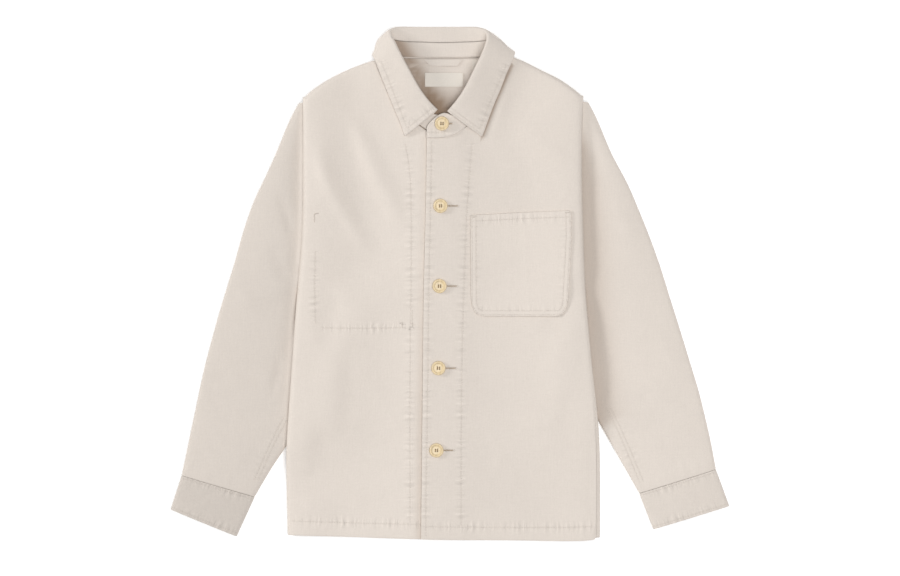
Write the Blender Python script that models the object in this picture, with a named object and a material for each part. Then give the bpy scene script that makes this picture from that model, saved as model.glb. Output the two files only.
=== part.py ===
"""A buttoned chore jacket in undyed denim, lying on its back on a flat surface, at life size.

The tables give lengths in millimetres: x runs across the jacket towards the wearer's left,
y up the jacket towards the collar, z up from the surface. The panels lie on each other.
They part only where cloth this heavy can't crease flat: at the side folds, at the armholes
and over the part of each sleeve that is tucked under the body.
"""

import math

import bmesh
import bpy
import numpy as np
from mathutils import Matrix, Vector
from mathutils.bvhtree import BVHTree

MM = 0.001

# Cloth and clearances
CLOTH = 1.7            # a panel's wall
BAND = 2.2             # a wall of two layers: collar, stand and cuffs
HEM_EXTRA = 0.7        # what the turned hem and facings add to a panel's wall
SEAM = 0.3             # between two pieces at a seam
LAY = 0.5              # between two panels that lie on each other

# The body
MIDDLE = -9.3          # x of the line up the middle of the back
UNDERARM = 0.0         # y where side seam, sleeve seam and armhole meet
FOLD = 8.0             # how far in from the body's edge the side fold reaches
HEM_DEPTH = 19.0
CLOSED_PUFF = 6.0      # how far the fold holds front and back apart below the underarm
ARMHOLE_PUFF = 14.0    # and beside the armhole
SHOULDER_PUFF = 5.0    # and at the shoulder line
SIDE_PUFF_REACH = 95.0
SHOULDER_PUFF_REACH = 70.0
PUFF_OPENS = -65.0     # y from which the fold opens towards the armhole
PUFF_LENGTH = 110.0    # and the length over which it does
RIDGE_INSET = 20.0     # the fronts' ridges fade in over this distance from the fold
TUCK_LIFT = 9.6        # the back rides this high over the tucked part of a sleeve
TUCK_SLOPE = 34.0      # and comes down over this width
TUCK_CLEAR = 7.0       # which starts this far past the tucked part
TUCK_LEAD = 45.0       # the back starts to rise this far below it
TUCK_FADE = 60.0       # and is level again at the underarm after this length
COLLAR_LIFT = 3.5      # the back rides this high over the collar folded under it
COLLAR_LIFT_START = 240.0
COLLAR_LIFT_LENGTH = 62.0
COLLAR_LIFT_HALF_WIDTH = 128.0
COLLAR_LIFT_SIDE = 30.0    # width of the slope at either end
BACK_SHORT = 1.0       # how much higher the back's hem ends than the fronts'
HEM_STEP = 3.0         # length over which the turned hem's thickness ends
HEM_LEVEL = -365.0     # y at which a column of points is followed to find its hem
SHOULDER_LEVEL = 270.0     # and its end at the shoulder
TOP_LEVEL = 250.0      # and its top edge
ARMHOLE_LENGTH = 14.0  # the side seam opens into the armhole over this length

# The closure
OVERLAP_EDGE = 9.0     # x of the under front's hidden edge
OVERLAP_RISE = 24.0    # the upper front comes down from the under one within this length
FACING_STEP = 10.0     # length over which a facing's thickness ends
BUTTON_RADIUS = 10.2
BUTTON_THICK = 3.4
BUTTON_HOLE = 1.1
BUTTON_HOLE_OUT = 2.1
BUTTON_SIDES = 20
BUTTON_RIM = 1.4       # width of the chamfer at a button's edge
BUTTON_DISH = 1.1      # how far the middle lies below the rim

# Sleeves
SLEEVE_FOLD = 6.0      # half the width of a sleeve's outer fold
SLEEVE_EDGE = 8.4      # height of a sleeve at its folds
SLEEVE_CROWN = 12.0    # and along its middle
SLEEVE_TOP_SHARES = (0.84, 0.68, 0.5, 0.32, 0.14)    # across the upper layer, inner end first
SLEEVE_UNDER_SHARES = (0.3, 0.7)                     # across the layer underneath
OUTER_TURN = (90, 45, 0, -45, -90)                   # degrees round a sleeve's outer fold
VALLEY_RISE = 0.6      # how far over the folds the upper layer stays before it meets the body
SLEEVE_HEAD = 262.0    # y of the top of the sleeves' outer folds
HEAD_SWELL = 150.0     # the sleeve reaches its full height this far below the shoulder
INNER_SWELL = 34.0     # the inner fold stands clear of the underarm within this length

RIGHT, LEFT = -1, 1    # the wearer's sides
FACING_EDGES = {RIGHT: -50.0, LEFT: 20.0}

# y, x of the body's edge on the wearer's right, and on the wearer's left
BODY_EDGES = (
    (-371, -234.9, 217.5),
    (-300, -236.3, 217.8),
    (-241, -237.0, 217.3),
    (-197, -234.2, 214.4),
    (-110, -228.0, 204.5),
    (-23, -222.0, 197.2),
    (78, -214.0, 193.0),
    (195, -213.2, 190.8),
    (272, -213.0, 192.9),
    (345, -213.0, 193.5),
)
# x, y of the hem
HEM = ((-237, -363.2), (-150, -366.0), (-38, -369.8), (100, -371.2), (190, -371.4), (206, -370.4),
       (218, -366.6))
# x, y of the shoulder line from armhole to armhole, which the collar hides at the neck
SHOULDERS = (
    (-213, 270.5), (-194, 284.2), (-177, 295.8), (-154, 307.4), (-130, 317.6), (-107, 324.8),
    (-98, 328.0), (-60, 332.0), (40, 334.0), (80, 332.0), (106, 323.4), (130, 310.3),
    (160, 295.8), (180, 281.3), (193, 272.6),
)
NECK_POINTS = {RIGHT: -98.5, LEFT: 80.0}
# x, y of the seams that the stand is sewn to
BACK_NECK = ((-98.5, 328.5), (-75, 327.2), (-40, 326.4), (22, 326.4), (57, 327.8), (80, 331.5))
LEFT_NECK = (
    (-40, 213.2), (-14.5, 213.4), (3, 216), (22, 224.8), (40.6, 240.7), (58, 263.9), (71, 290),
    (77, 312), (80, 331.5),
)
RIGHT_NECK = (
    (-98.5, 328.5), (-95.5, 312), (-89.5, 290), (-76.5, 263.9), (-59, 240.7), (-40.5, 224.8),
    (-21.5, 216), (-4, 213.4), (12, 213.2),
)
# y, x of the upper front's free edge
CLOSURE_EDGE = ((-372, -42), (-190, -40), (6, -37.7), (122, -34.8), (214, -33.6))
# y, how far past the edge the side seam lies on the upper face, on the wearer's left
SEAM_ON_TOP = ((-372, 5.5), (-230, 5.5), (-200, 4.5), (-165, 1.0), (-150, 0.0), (345, 0.0))
# y, width of sleeve hidden under the body, wearer's right
RIGHT_TUCK = ((-240, -1.2), (-228, 4), (-208, 17), (-180, 33), (-145, 40), (-115, 34), (-90, 18),
              (-76, 4), (-68, -1.2), (0, -1.2))
# and the wearer's left
LEFT_TUCK = ((-200, -1.2), (-190, 4), (-172, 15), (-150, 26), (-125, 31), (-105, 25), (-88, 12),
             (-76, 3), (-68, -1.2), (0, -1.2))
# y, how far in from the edge the back stays level over the tucked part
RIGHT_LEVEL = ((-262, 0), (-228, 20), (-197, 46), (-95, 46), (-70, 20), (-40, 8))
LEFT_LEVEL = ((-225, 0), (-195, 18), (-165, 38), (-95, 38), (-70, 20), (-40, 8))
# Soft ridges on the fronts: x, y at each end, half width, height
RIDGES = (
    (-138, 262, -100, 152, 15, 1.7),
    (-106, 165, -58, 62, 14, 1.9),
    (-206, 225, -176, 135, 14, 1.5),
    (-184, 145, -140, 40, 16, 1.7),
    (-228, -255, -150, -275, 13, 1.1),
    (-205, -345, -120, -300, 12, 1.0),
    (150, 250, 60, 150, 22, 0.9),
    (20, -80, 120, -95, 11, 1.0),
    (120, -95, 190, -70, 11, 1.0),
    (30, -215, 110, -262, 16, 0.8),
)
RIDGE_OVERRUN, RIDGE_FADE = 0.25, 0.45       # of a ridge's length, past each of its ends

# Heights up the side at which the body's rows lie, hem to shoulder
BODY_ROWS = (-363, -345, -341, -308, -272, -236, -200, -160, -115, -70, -35, -12, 0, 14, 30, 50, 85,
             125, 165, 205, 240, 262.5)
BAND_COLUMNS = (20, 34, 50, 66, 84)          # distances in from the body's edge
FRONT_COLUMNS = (0, 0.1, 0.2, 0.34, 0.5, 0.68, 0.84)
BACK_COLUMNS = (0, 0.15, 0.3, 0.45, 0.6, 0.75, 0.9)
FOLD_STEPS = (0.34, 0.67, 1.0)               # of the quarter or half turn of a side fold
TOP_STEPS = (0.5, 1.0)                       # of the quarter turn at the shoulder line

# Each sleeve in stations: x, y of the outer fold, then y of the inner end.
# The inner ends lie on the armhole or on the inner fold.
RIGHT_SLEEVE = (
    (-219.5, 261.5, 262.5), (-228, 246, 251), (-236.5, 229, 240), (-246, 204, 222.5),
    (-257, 178, 205), (-271.5, 147, 165), (-286, 117, 125), (-301, 72, 85), (-311.5, 32, 50),
    (-317.5, 13, 30), (-322.5, -3, 14), (-327, -18, 0), (-331, -31, -16), (-335.5, -46, -34),
    (-340.5, -64, -52), (-347, -88, -75), (-355, -118, -105), (-363, -154, -145),
    (-369.5, -186, -180), (-374.5, -209, -207), (-378.5, -229, -230),
)
LEFT_SLEEVE = (
    (200.5, 263, 264), (208.5, 249, 252), (216.5, 232, 240), (226, 208, 222.5),
    (237, 182, 205), (255, 152, 165), (269.5, 117, 125), (288, 72, 85), (302.5, 32, 50),
    (308.5, 13, 30), (313.5, -3, 14), (318, -18, 0), (322, -31, -16), (327, -46, -34),
    (332.5, -64, -52), (340, -88, -75), (349, -118, -100), (356.5, -142, -125),
    (362.5, -163, -150), (367.5, -184, -172), (372, -203, -192),
)
# The free end of each sleeve, and its cuff: x, y of the outer fold, x, y of the inner fold
RIGHT_SLEEVE_END = ((-383.5, -253, -257, -263), (-388.6, -277, -282.8, -308.1))
LEFT_SLEEVE_END = ((378, -229, 235, -234), (385.1, -268.3, 274.1, -303.1))
RIGHT_CUFF = (-404.6, -326.3, -308.9, -365.4)
LEFT_CUFF = (404.6, -321.3, 294.4, -355.3)

# The collar in sections from the front of one leaf to the middle of the back. x, y and z of
# the roll's outermost line; the way the section faces; how far it leans out from upright;
# x, y, z of the fall's middle; x, y, z of its outer edge; x, y on the neck seam.
# Where the edge's height is None the fall lies on the front, and its middle runs straight.
LEFT_LEAF = (
    (-4.4, 250, 15.5, -36, -72, 21, 231.5, None, 46.4, 213.2, None, 24, 226),
    (7.3, 263, 19, -33, -72, 31, 249, None, 54, 234, None, 36, 236.5),
    (21.8, 284.2, 23, -33, -72, 43, 270, None, 62.5, 257.5, None, 49, 251.5),
    (34.8, 310.3, 26, -33, -68, 54.5, 297, None, 74, 284, None, 64, 275.5),
    (45, 330.6, 27.5, -28, -62, 64, 319.5, None, 82, 306, None, 73, 301),
    (51.5, 346, 27.5, -20, -48, 71, 336, None, 90, 322.5, None, 78, 318),
    (54, 354, 26, -8, -30, 82, 342, 13, 94, 335.5, 6.5, 78.5, 324),
    (54.5, 358, 24.5, 2, -18, 85.5, 341, 8.5, 92.5, 334.5, 2.2, 77, 328.5),
    (54.8, 361, 23, 12, -8, 87.5, 338.5, 4.8, 82, 319, 1.4, 73, 330.3),
    (50.5, 367.5, 17, 45, 28, 70.5, 353.5, 3.2, 66, 315, 1.4, 61, 328.6),
    (38, 372, 10, 78, 66, 47, 348, 1.6, 48, 313.5, 1.4, 44, 327.3),
    (14.5, 372.7, 6.3, 90, 86, 15, 347, 1.5, 15.5, 313.2, 1.4, 16, 326.6),
    (-15, 372.7, 6.3, 90, 88, -13, 347, 1.5, -12, 313.2, 1.4, -12, 326.5),
)
RIGHT_LEAF = (
    (-17.4, 252.3, 13.5, 219, -72, -42, 232, None, -65.3, 213.9, None, -42, 226.5),
    (-29, 263.5, 17.5, 213, -72, -52, 249, None, -73.5, 236.5, None, -54, 237.5),
    (-43.5, 282.5, 22.5, 212, -72, -64, 270, None, -83.4, 260, None, -67, 252),
    (-58, 308.4, 26, 212, -68, -77, 297, None, -93.5, 285.5, None, -82.5, 275.5),
    (-72.5, 335, 27.5, 208, -62, -89, 321, None, -101, 304.5, None, -91, 301),
    (-80.5, 351, 27.5, 198, -46, -95.5, 338, None, -107.5, 322, None, -95, 317.5),
    (-85, 358, 25, 186, -28, -103, 344.5, 12.5, -112.5, 332, 6.5, -95.5, 322.5),
    (-86, 361, 23.5, 177, -18, -106, 345.5, 8.5, -110.5, 331, 2.2, -94, 326.7),
    (-87, 364, 21.5, 168, -8, -107.8, 346, 4.8, -100, 320, 1.4, -90, 328.5),
    (-82.5, 369.3, 15.5, 135, 30, -97, 357.2, 3.2, -84, 316, 1.4, -79, 327.8),
    (-70, 372.4, 9.5, 101, 66, -75.5, 349, 1.6, -67, 313.5, 1.4, -63, 327.3),
    (-44, 372.7, 6.3, 92, 86, -43, 347, 1.5, -40, 313.2, 1.4, -38, 326.7),
)
# How far from the roll the seam between fall and stand lies, front of a leaf to back
SEAM_FROM_ROLL = ((0, 7), (5, 7), (8, 10), (10, 17), (12, 19.5))
NECK_CLEAR = 1.9       # the stand's lower edge stands this far in from the panels' edges
NECK_REACHES = (0.5, 3, 6, 9, 12)    # in from the neck seam, where the stand clears the back
ROLL_TURN = (-90, -30, 30, 90)       # degrees round the roll, stand to fall
STAND_SHARES = (0, 0.33, 0.67, 1)    # up the stand, from the neck seam
ROLL_RADIUS = 3.6
LEAF_CROWN = 1.0
LEAF_STEPS = (0.22, 0.42, 0.6, 0.8, 1)
# The stand past the leaves, where its ends button: x, y at the neck seam, x, y, at the top
OVER_END = ((10, 220.6, -6, 248.5), (-4, 215.8, -13, 247), (-16, 214.9, -20, 243),
            (-27, 214.7, -27.5, 236.5), (-34, 214.7, -33.2, 228.5))
UNDER_END = ((-27, 220, -17, 246), (-16, 216.3, -11, 241), (-6, 215, -5, 235))
UNDER_RISE, OVER_RISE = 1.4, 3.6    # from neck seam to top edge where the ends lie flat

# Pocket: y, x of the side nearer the closure, x of the side nearer the sleeve
POCKET = ((-46.4, 42, 160), (-41, 36, 165), (-30, 30.5, 170.2), (5, 30.2, 172), (40, 30, 174),
          (71, 29.8, 175.5), (100, 29.7, 174.5))
POCKET_TOP = ((29, 99.3), (105, 103.4), (175, 105.9))
POCKET_COLUMNS = 8

# x, y of each button's middle; the first is on the stand
BUTTONS = ((-11.6, 232), (-13.8, 113), (-15.2, -3), (-16.7, -121.8), (-19.6, -240.7))

# Trim at the back neck: x of both ends and y, for the lower edge and the upper one
LOOP = (((-29, 10.5), 315.6), ((-37.5, 18.6), 325.4))
LABEL = (((-36.3, 18.9), 285.7), ((-36.3, 18.9), 306))
TAG = (((32.5, 43), 308.5), ((32.5, 43), 324.5))
TRIM_THICK = 1.0
LOOP_RISE = 1.0        # how far the hanger loop's middle stands off the back


def smooth(t):
    """0 to 1 with soft ends."""
    t = min(max(t, 0.0), 1.0)
    return t * t * (3 - 2 * t)


def mix(a, b, t):
    return a + (b - a) * t


def follow(table, at):
    """The smooth curve through a table whose rows start with a rising place."""
    places = [row[0] for row in table]
    values = np.array([row[1:] for row in table], float)
    at = min(max(at, places[0]), places[-1])
    i = max(j for j in range(len(places) - 1) if places[j] <= at)
    slopes = np.gradient(values, places, axis=0)
    step = places[i + 1] - places[i]
    t = (at - places[i]) / step
    found = (
        values[i] * (1 + 2 * t) * (1 - t) ** 2
        + slopes[i] * step * t * (1 - t) ** 2
        + values[i + 1] * t * t * (3 - 2 * t)
        + slopes[i + 1] * step * t * t * (t - 1)
    )
    return found[0] if len(found) == 1 else found


def straight(table, at):
    """The same, with straight lines from row to row."""
    return float(np.interp(at, [row[0] for row in table], [row[1] for row in table]))


# ---- the body as fields over the surface it lies on ----

def edge_x(side, y):
    return follow(BODY_EDGES, y)[0 if side == RIGHT else 1]


def side_of(x):
    return RIGHT if x < MIDDLE else LEFT


def inside_edge(x, y):
    """Distance in from the body's nearer edge."""
    side = side_of(x)
    return (edge_x(side, y) - x) * side


def lift(x, y):
    """Height of the back's under face over the surface."""
    side = side_of(x)
    level = straight(RIGHT_LEVEL if side == RIGHT else LEFT_LEVEL, y)
    low_end = (RIGHT_TUCK if side == RIGHT else LEFT_TUCK)[0][0]
    over_tuck = smooth(1 - (inside_edge(x, y) - level - TUCK_CLEAR) / TUCK_SLOPE)
    over_tuck *= smooth((y - low_end + TUCK_LEAD) / TUCK_LEAD)
    over_tuck *= smooth((UNDERARM - y) / TUCK_FADE)
    over_collar = smooth((y - COLLAR_LIFT_START) / COLLAR_LIFT_LENGTH)
    over_collar *= smooth((COLLAR_LIFT_HALF_WIDTH - abs(x - MIDDLE)) / COLLAR_LIFT_SIDE)
    return math.hypot(TUCK_LIFT * over_tuck, COLLAR_LIFT * over_collar)


def ridges(x, y):
    total = 0.0
    for x0, y0, x1, y1, half_width, height in RIDGES:
        length = math.hypot(x1 - x0, y1 - y0)
        dx, dy = (x1 - x0) / length, (y1 - y0) / length
        along = ((x - x0) * dx + (y - y0) * dy) / length
        off = abs(-(x - x0) * dy + (y - y0) * dx) / half_width
        start = smooth((along + RIDGE_OVERRUN) / RIDGE_FADE)
        end = smooth((1 + RIDGE_OVERRUN - along) / RIDGE_FADE)
        total += height * start * end * math.exp(-off * off)
    return total


def top(x, y):
    """Height of the upper face where one front lies on the back."""
    side_amount = mix(CLOSED_PUFF, ARMHOLE_PUFF, smooth((y - PUFF_OPENS) / PUFF_LENGTH))
    by_side = side_amount * (1 - smooth((inside_edge(x, y) - FOLD) / SIDE_PUFF_REACH))
    below_line = follow(SHOULDERS, x) - y
    by_shoulder = SHOULDER_PUFF * (1 - smooth((below_line - FOLD) / SHOULDER_PUFF_REACH))
    soft = smooth((inside_edge(x, y) - FOLD) / RIDGE_INSET)
    walls = 2 * CLOTH + LAY + HEM_EXTRA * turned_hem(x, y)
    return lift(x, y) + walls + math.hypot(by_side, by_shoulder) + soft * ridges(x, y)


def turned_hem(x, y):
    """1 where the hem is turned up, 0 above it."""
    return smooth((follow(HEM, x) + HEM_DEPTH + HEM_STEP - y) / HEM_STEP)


def front_wall(side, x, y):
    """Thickness of a front's wall, which is more over its facing and hem."""
    past_facing = (x - FACING_EDGES[side]) * side
    return CLOTH + HEM_EXTRA * max(1 - smooth(past_facing / FACING_STEP + 0.5), turned_hem(x, y))


def under_top(x, y):
    """Height of the under front's upper face."""
    return top(x, y) + front_wall(RIGHT, x, y) - CLOTH


def upper_top(x, y):
    """The same for the upper front, which lies on the under one at the closure."""
    on_under = smooth((OVERLAP_EDGE + 2 + OVERLAP_RISE - x) / OVERLAP_RISE)
    over = on_under * (front_wall(RIGHT, min(x, OVERLAP_EDGE), y) + LAY)
    return top(x, y) + front_wall(LEFT, x, y) - CLOTH + over


def side_fold(side, y):
    """The side fold at this height: crest x, under face and upper face there."""
    crest = edge_x(side, y) - side * FOLD
    return crest, lift(crest, y), top(crest, y)


def fold_point(side, y, angle):
    """A point of the side fold's outer face, -90 under the body, 0 outermost, 90 on top."""
    crest, low, high = side_fold(side, y)
    turn = math.radians(angle)
    x = crest + side * FOLD * math.cos(turn)
    return np.array((x, y, (low + high) / 2 + (high - low) / 2 * math.sin(turn)))


def unit(vector):
    vector = np.array(vector, float)
    return vector / np.linalg.norm(vector)


def fold_directions(side, y, angle):
    """The side fold's outward normal, and the way round it towards the top."""
    _, low, high = side_fold(side, y)
    half, turn = (high - low) / 2, math.radians(angle)
    normal = unit((side * half * math.cos(turn), 0, FOLD * math.sin(turn)))
    round_it = unit((-side * FOLD * math.sin(turn), 0, half * math.cos(turn)))
    return normal, round_it


def shoulder_normal(x):
    slope = (follow(SHOULDERS, x + 1) - follow(SHOULDERS, x - 1)) / 2
    return unit((-slope, 1, 0))


def seam_angle(side, y):
    """Where round the fold the side seam lies."""
    on_top = straight(SEAM_ON_TOP, y) if side == LEFT else 0.0
    return math.degrees(math.acos(1 - on_top / FOLD))


def closed(y):
    """1 where side seam closes the fold, 0 where the armhole opens it."""
    return 1 - smooth((y - UNDERARM) / ARMHOLE_LENGTH)


def armhole(side, y):
    """The edges that a sleeve is sewn to at this height: outermost x, front z, back z."""
    crest, low, high = side_fold(side, y)
    half = (high - low) / 2
    return edge_x(side, y), low + half, low + closed(y) * half


# ---- walls ----

def grid_normals(points, joined):
    along = np.gradient(points, axis=0, edge_order=2)
    across = np.gradient(points, axis=1, edge_order=2)
    for i in joined:
        across[i, 0] = across[i, -1] = (points[i, 1] - points[i, -2]) / 2
    normals = np.cross(across, along)
    return normals / np.linalg.norm(normals, axis=2, keepdims=True)


def make_object(name, vertices, faces, material):
    mesh = bpy.data.meshes.new(name)
    mesh.from_pydata([tuple(float(c) * MM for c in v) for v in vertices], [], faces)
    shape = bmesh.new()
    shape.from_mesh(mesh)
    bmesh.ops.recalc_face_normals(shape, faces=shape.faces)
    shape.to_mesh(mesh)
    shape.free()
    mesh.materials.append(material)
    mesh.shade_smooth()
    mesh.set_sharp_from_angle(angle=math.radians(50))
    obj = bpy.data.objects.new(name, mesh)
    bpy.context.scene.collection.objects.link(obj)
    return obj


def wall(name, outer, thickness, material, outward=1, joined=()):
    """A cloth wall between a grid of points and the same grid moved in along its normals.

    A joined row closes on itself: its last point is its first. A point of the grid may carry
    its own normal after its place, so that both sides of a seam are cut at the same angle.
    """
    grid = np.array(outer, float)
    outer, given = grid[..., :3], grid[..., 3:]
    normals = grid_normals(outer, joined) * outward
    if given.size:
        is_given = np.linalg.norm(given, axis=2) > 0.5
        normals[is_given] = given[is_given]
    thickness = np.broadcast_to(np.asarray(thickness, float), outer.shape[:2])
    inner = outer - normals * thickness[..., None]
    rows, columns = outer.shape[:2]
    vertices, index = [], {}

    def vertex(layer, i, j):
        key = (layer, i, 0 if i in joined and j == columns - 1 else j)
        if key not in index:
            index[key] = len(vertices)
            vertices.append((outer, inner)[layer][key[1], key[2]])
        return index[key]

    faces = []

    def quad(a, b, c, d):
        faces.append((a, b, c))
        faces.append((a, c, d))

    for i in range(rows - 1):
        for j in range(columns - 1):
            for layer in (0, 1):
                quad(vertex(layer, i, j), vertex(layer, i, j + 1),
                     vertex(layer, i + 1, j + 1), vertex(layer, i + 1, j))
        if i not in joined or i + 1 not in joined:
            for j in (0, columns - 1):
                quad(vertex(0, i, j), vertex(0, i + 1, j), vertex(1, i + 1, j), vertex(1, i, j))
    for i in (0, rows - 1):
        for j in range(columns - 1):
            quad(vertex(0, i, j), vertex(0, i, j + 1), vertex(1, i, j + 1), vertex(1, i, j))
    whole = [face for face in faces if len(set(face)) == 3]
    return make_object(name, vertices, whole, material)


def ground_of(*objects):
    """A function giving the height, in millimetres, of the topmost of these objects."""
    trees = []
    for obj in objects:
        mesh = obj.data
        points = [tuple(v.co) for v in mesh.vertices]
        trees.append(BVHTree.FromPolygons(points, [tuple(p.vertices) for p in mesh.polygons]))

    def height(x, y):
        start = Vector((x * MM, y * MM, 1.0))
        found = [tree.ray_cast(start, Vector((0, 0, -1)))[0] for tree in trees]
        return max([hit.z / MM for hit in found if hit], default=0.0)

    return height


# ---- the body's panels ----

def rows_between(hem_y, top_y):
    """The body's rows for a column that runs between these heights."""
    low, high = BODY_ROWS[0], BODY_ROWS[-1]
    return [mix(hem_y, top_y, (row - low) / (high - low)) for row in BODY_ROWS]


def column_top(x_at, top_at):
    """Where a column of points meets the panel's top edge."""
    y = TOP_LEVEL
    for _ in range(12):
        y = top_at(x_at(y))
    return y


def body_column(face, x_at, top_at, height_at, shoulder_at):
    """One column of a panel's face, hem to top, turning over at the shoulder line.

    face is 1 for a front's upper face and -1 for the back's under face.
    """
    y_top = column_top(x_at, top_at)
    y_hem = follow(HEM, x_at(HEM_LEVEL)) + (BACK_SHORT if face < 0 else 0)
    column = []
    for y in rows_between(y_hem, y_top - FOLD):
        column.append((x_at(y), y, height_at(x_at(y), y), 0, 0, 0))
    turned = shoulder_at(x_at(y_top))
    x_crest, y_crest, z_crest = column[-1][:3]
    seam_z = (lift(x_crest, y_crest) + top(x_crest, y_crest)) / 2
    for step in TOP_STEPS:
        turn = step * math.pi / 2
        y_fold = y_top - FOLD * (1 - math.sin(turn))
        z_fold = mix(seam_z + face * SEAM / 2, z_crest, math.cos(turn))
        y_flat = y_top - FOLD * (1 - step)
        z_flat = height_at(x_at(y_flat), y_flat)
        y = mix(y_flat, y_fold, turned)
        column.append((x_at(y), y, mix(z_flat, z_fold, turned), 0, 0, 0))
    rim = unit(mix(np.array((0, 0, face)), shoulder_normal(x_at(y_top)), turned))
    column[-1] = (*column[-1][:3], *rim)
    return column


def past_neck(side, x):
    """1 on the shoulder line, 0 inside the neck."""
    return smooth(((x - NECK_POINTS[side]) * side + 2) / 10)


def fold_columns(side, face, rows_y, drops):
    """Columns of points round the side fold, from where a panel is level to the side seam.

    At the armhole the back stays level, and only the front turns down.
    """
    columns = [[] for _ in FOLD_STEPS]
    for y, drop in zip(rows_y, drops):
        crest, low, high = side_fold(side, y)
        level = 1 - closed(y) if face < 0 else 0
        for step, column in zip(FOLD_STEPS, columns):
            angle = mix(90 * face, seam_angle(side, y), step)
            point = fold_point(side, y, angle)
            normal, round_it = fold_directions(side, y, angle)
            if step == 1:
                point = point + face * SEAM / 2 * round_it
            point = mix(point, np.array((crest + side * FOLD * step, y, low)), level)
            normal = unit(mix(normal, np.array((0, 0, -1)), level))
            point[2] = mix((low + high + face * SEAM) / 2, point[2], drop)
            at_top = unit(mix(shoulder_normal(crest), np.array((side, 0, 0)), 0.5 * step))
            column.append((*point, *unit(mix(at_top, normal, drop))))
    return columns


def side_rows(side):
    """Heights of the rows at the body's edge, and how far the last ones have turned over."""
    edge_top = follow(SHOULDERS, edge_x(side, SHOULDER_LEVEL))
    edge_hem = follow(HEM, edge_x(side, HEM_LEVEL))
    heights = rows_between(edge_hem, edge_top - FOLD)
    drops = [1.0] * len(heights)
    for step in TOP_STEPS:
        turn = step * math.pi / 2
        heights.append(edge_top - FOLD * (1 - math.sin(turn)))
        drops.append(1 - math.sin(turn) if step == 1 else math.cos(turn))
    return heights, drops


def front_columns(side):
    """The columns of one front's upper face, from its free edge to the side seam."""
    upper = side == LEFT
    height_at = upper_top if upper else under_top
    neck = LEFT_NECK if upper else RIGHT_NECK
    neck_point = NECK_POINTS[side]

    def free_edge(y):
        return follow(CLOSURE_EDGE, y) if upper else OVERLAP_EDGE

    def top_at(x):
        return follow(neck, x) if (neck_point - x) * side > 0 else follow(SHOULDERS, x)

    def band_x(distance):
        return lambda y: edge_x(side, y) - side * distance

    def middle_x(s):
        return lambda y: mix(free_edge(y), band_x(BAND_COLUMNS[-1])(y), s)

    def shoulder_at(x):
        return past_neck(side, x)

    places = [middle_x(s) for s in FRONT_COLUMNS]
    places += [band_x(d) for d in reversed(BAND_COLUMNS)]
    places.append(band_x(FOLD))
    columns = [body_column(1, x_at, top_at, height_at, shoulder_at) for x_at in places]
    return columns + fold_columns(side, 1, *side_rows(side))


def make_front(side, name, material):
    columns = front_columns(side)
    if side == LEFT:
        grid = [list(row) for row in zip(*columns)]
    else:
        grid = [list(row) for row in zip(*reversed(columns))]
    thickness = [[front_wall(side, *point[:2]) for point in row] for row in grid]
    return wall(name, grid, thickness, material)


def make_back(material):
    """The back's under face, from side seam to side seam."""
    def top_at(x):
        inside_neck = NECK_POINTS[RIGHT] < x < NECK_POINTS[LEFT]
        return follow(BACK_NECK, x) if inside_neck else follow(SHOULDERS, x)

    def band_x(side, distance):
        return lambda y: edge_x(side, y) - side * distance

    def middle_x(s):
        first, last = band_x(RIGHT, BAND_COLUMNS[-1]), band_x(LEFT, BAND_COLUMNS[-1])
        return lambda y: mix(first(y), last(y), s)

    def shoulder_at(x):
        return past_neck(side_of(x), x)

    places = [band_x(RIGHT, d) for d in (FOLD,) + BAND_COLUMNS]
    places += [middle_x(s) for s in BACK_COLUMNS[1:]]
    places += [band_x(LEFT, d) for d in reversed((FOLD,) + BAND_COLUMNS)]
    columns = [body_column(-1, x_at, top_at, lift, shoulder_at) for x_at in places]
    columns = fold_columns(RIGHT, -1, *side_rows(RIGHT))[::-1] + columns
    columns += fold_columns(LEFT, -1, *side_rows(LEFT))
    grid = list(zip(*columns))
    thickness = [[CLOTH + HEM_EXTRA * turned_hem(*point[:2]) for point in row] for row in grid]
    return wall("back", grid, thickness, material, outward=-1)


# ---- sleeves and cuffs ----

def sleeve_heights(q, width, crown, inner_high):
    """Height of a sleeve's upper face at distance q in from its outer fold."""
    t = min(max((q - SLEEVE_FOLD) / max(width - 2 * SLEEVE_FOLD, 1), 0), 1)
    base = mix(SLEEVE_EDGE, inner_high, smooth(t))
    return base + (crown - SLEEVE_EDGE) * math.sin(math.pi * t) ** 0.8


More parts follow.
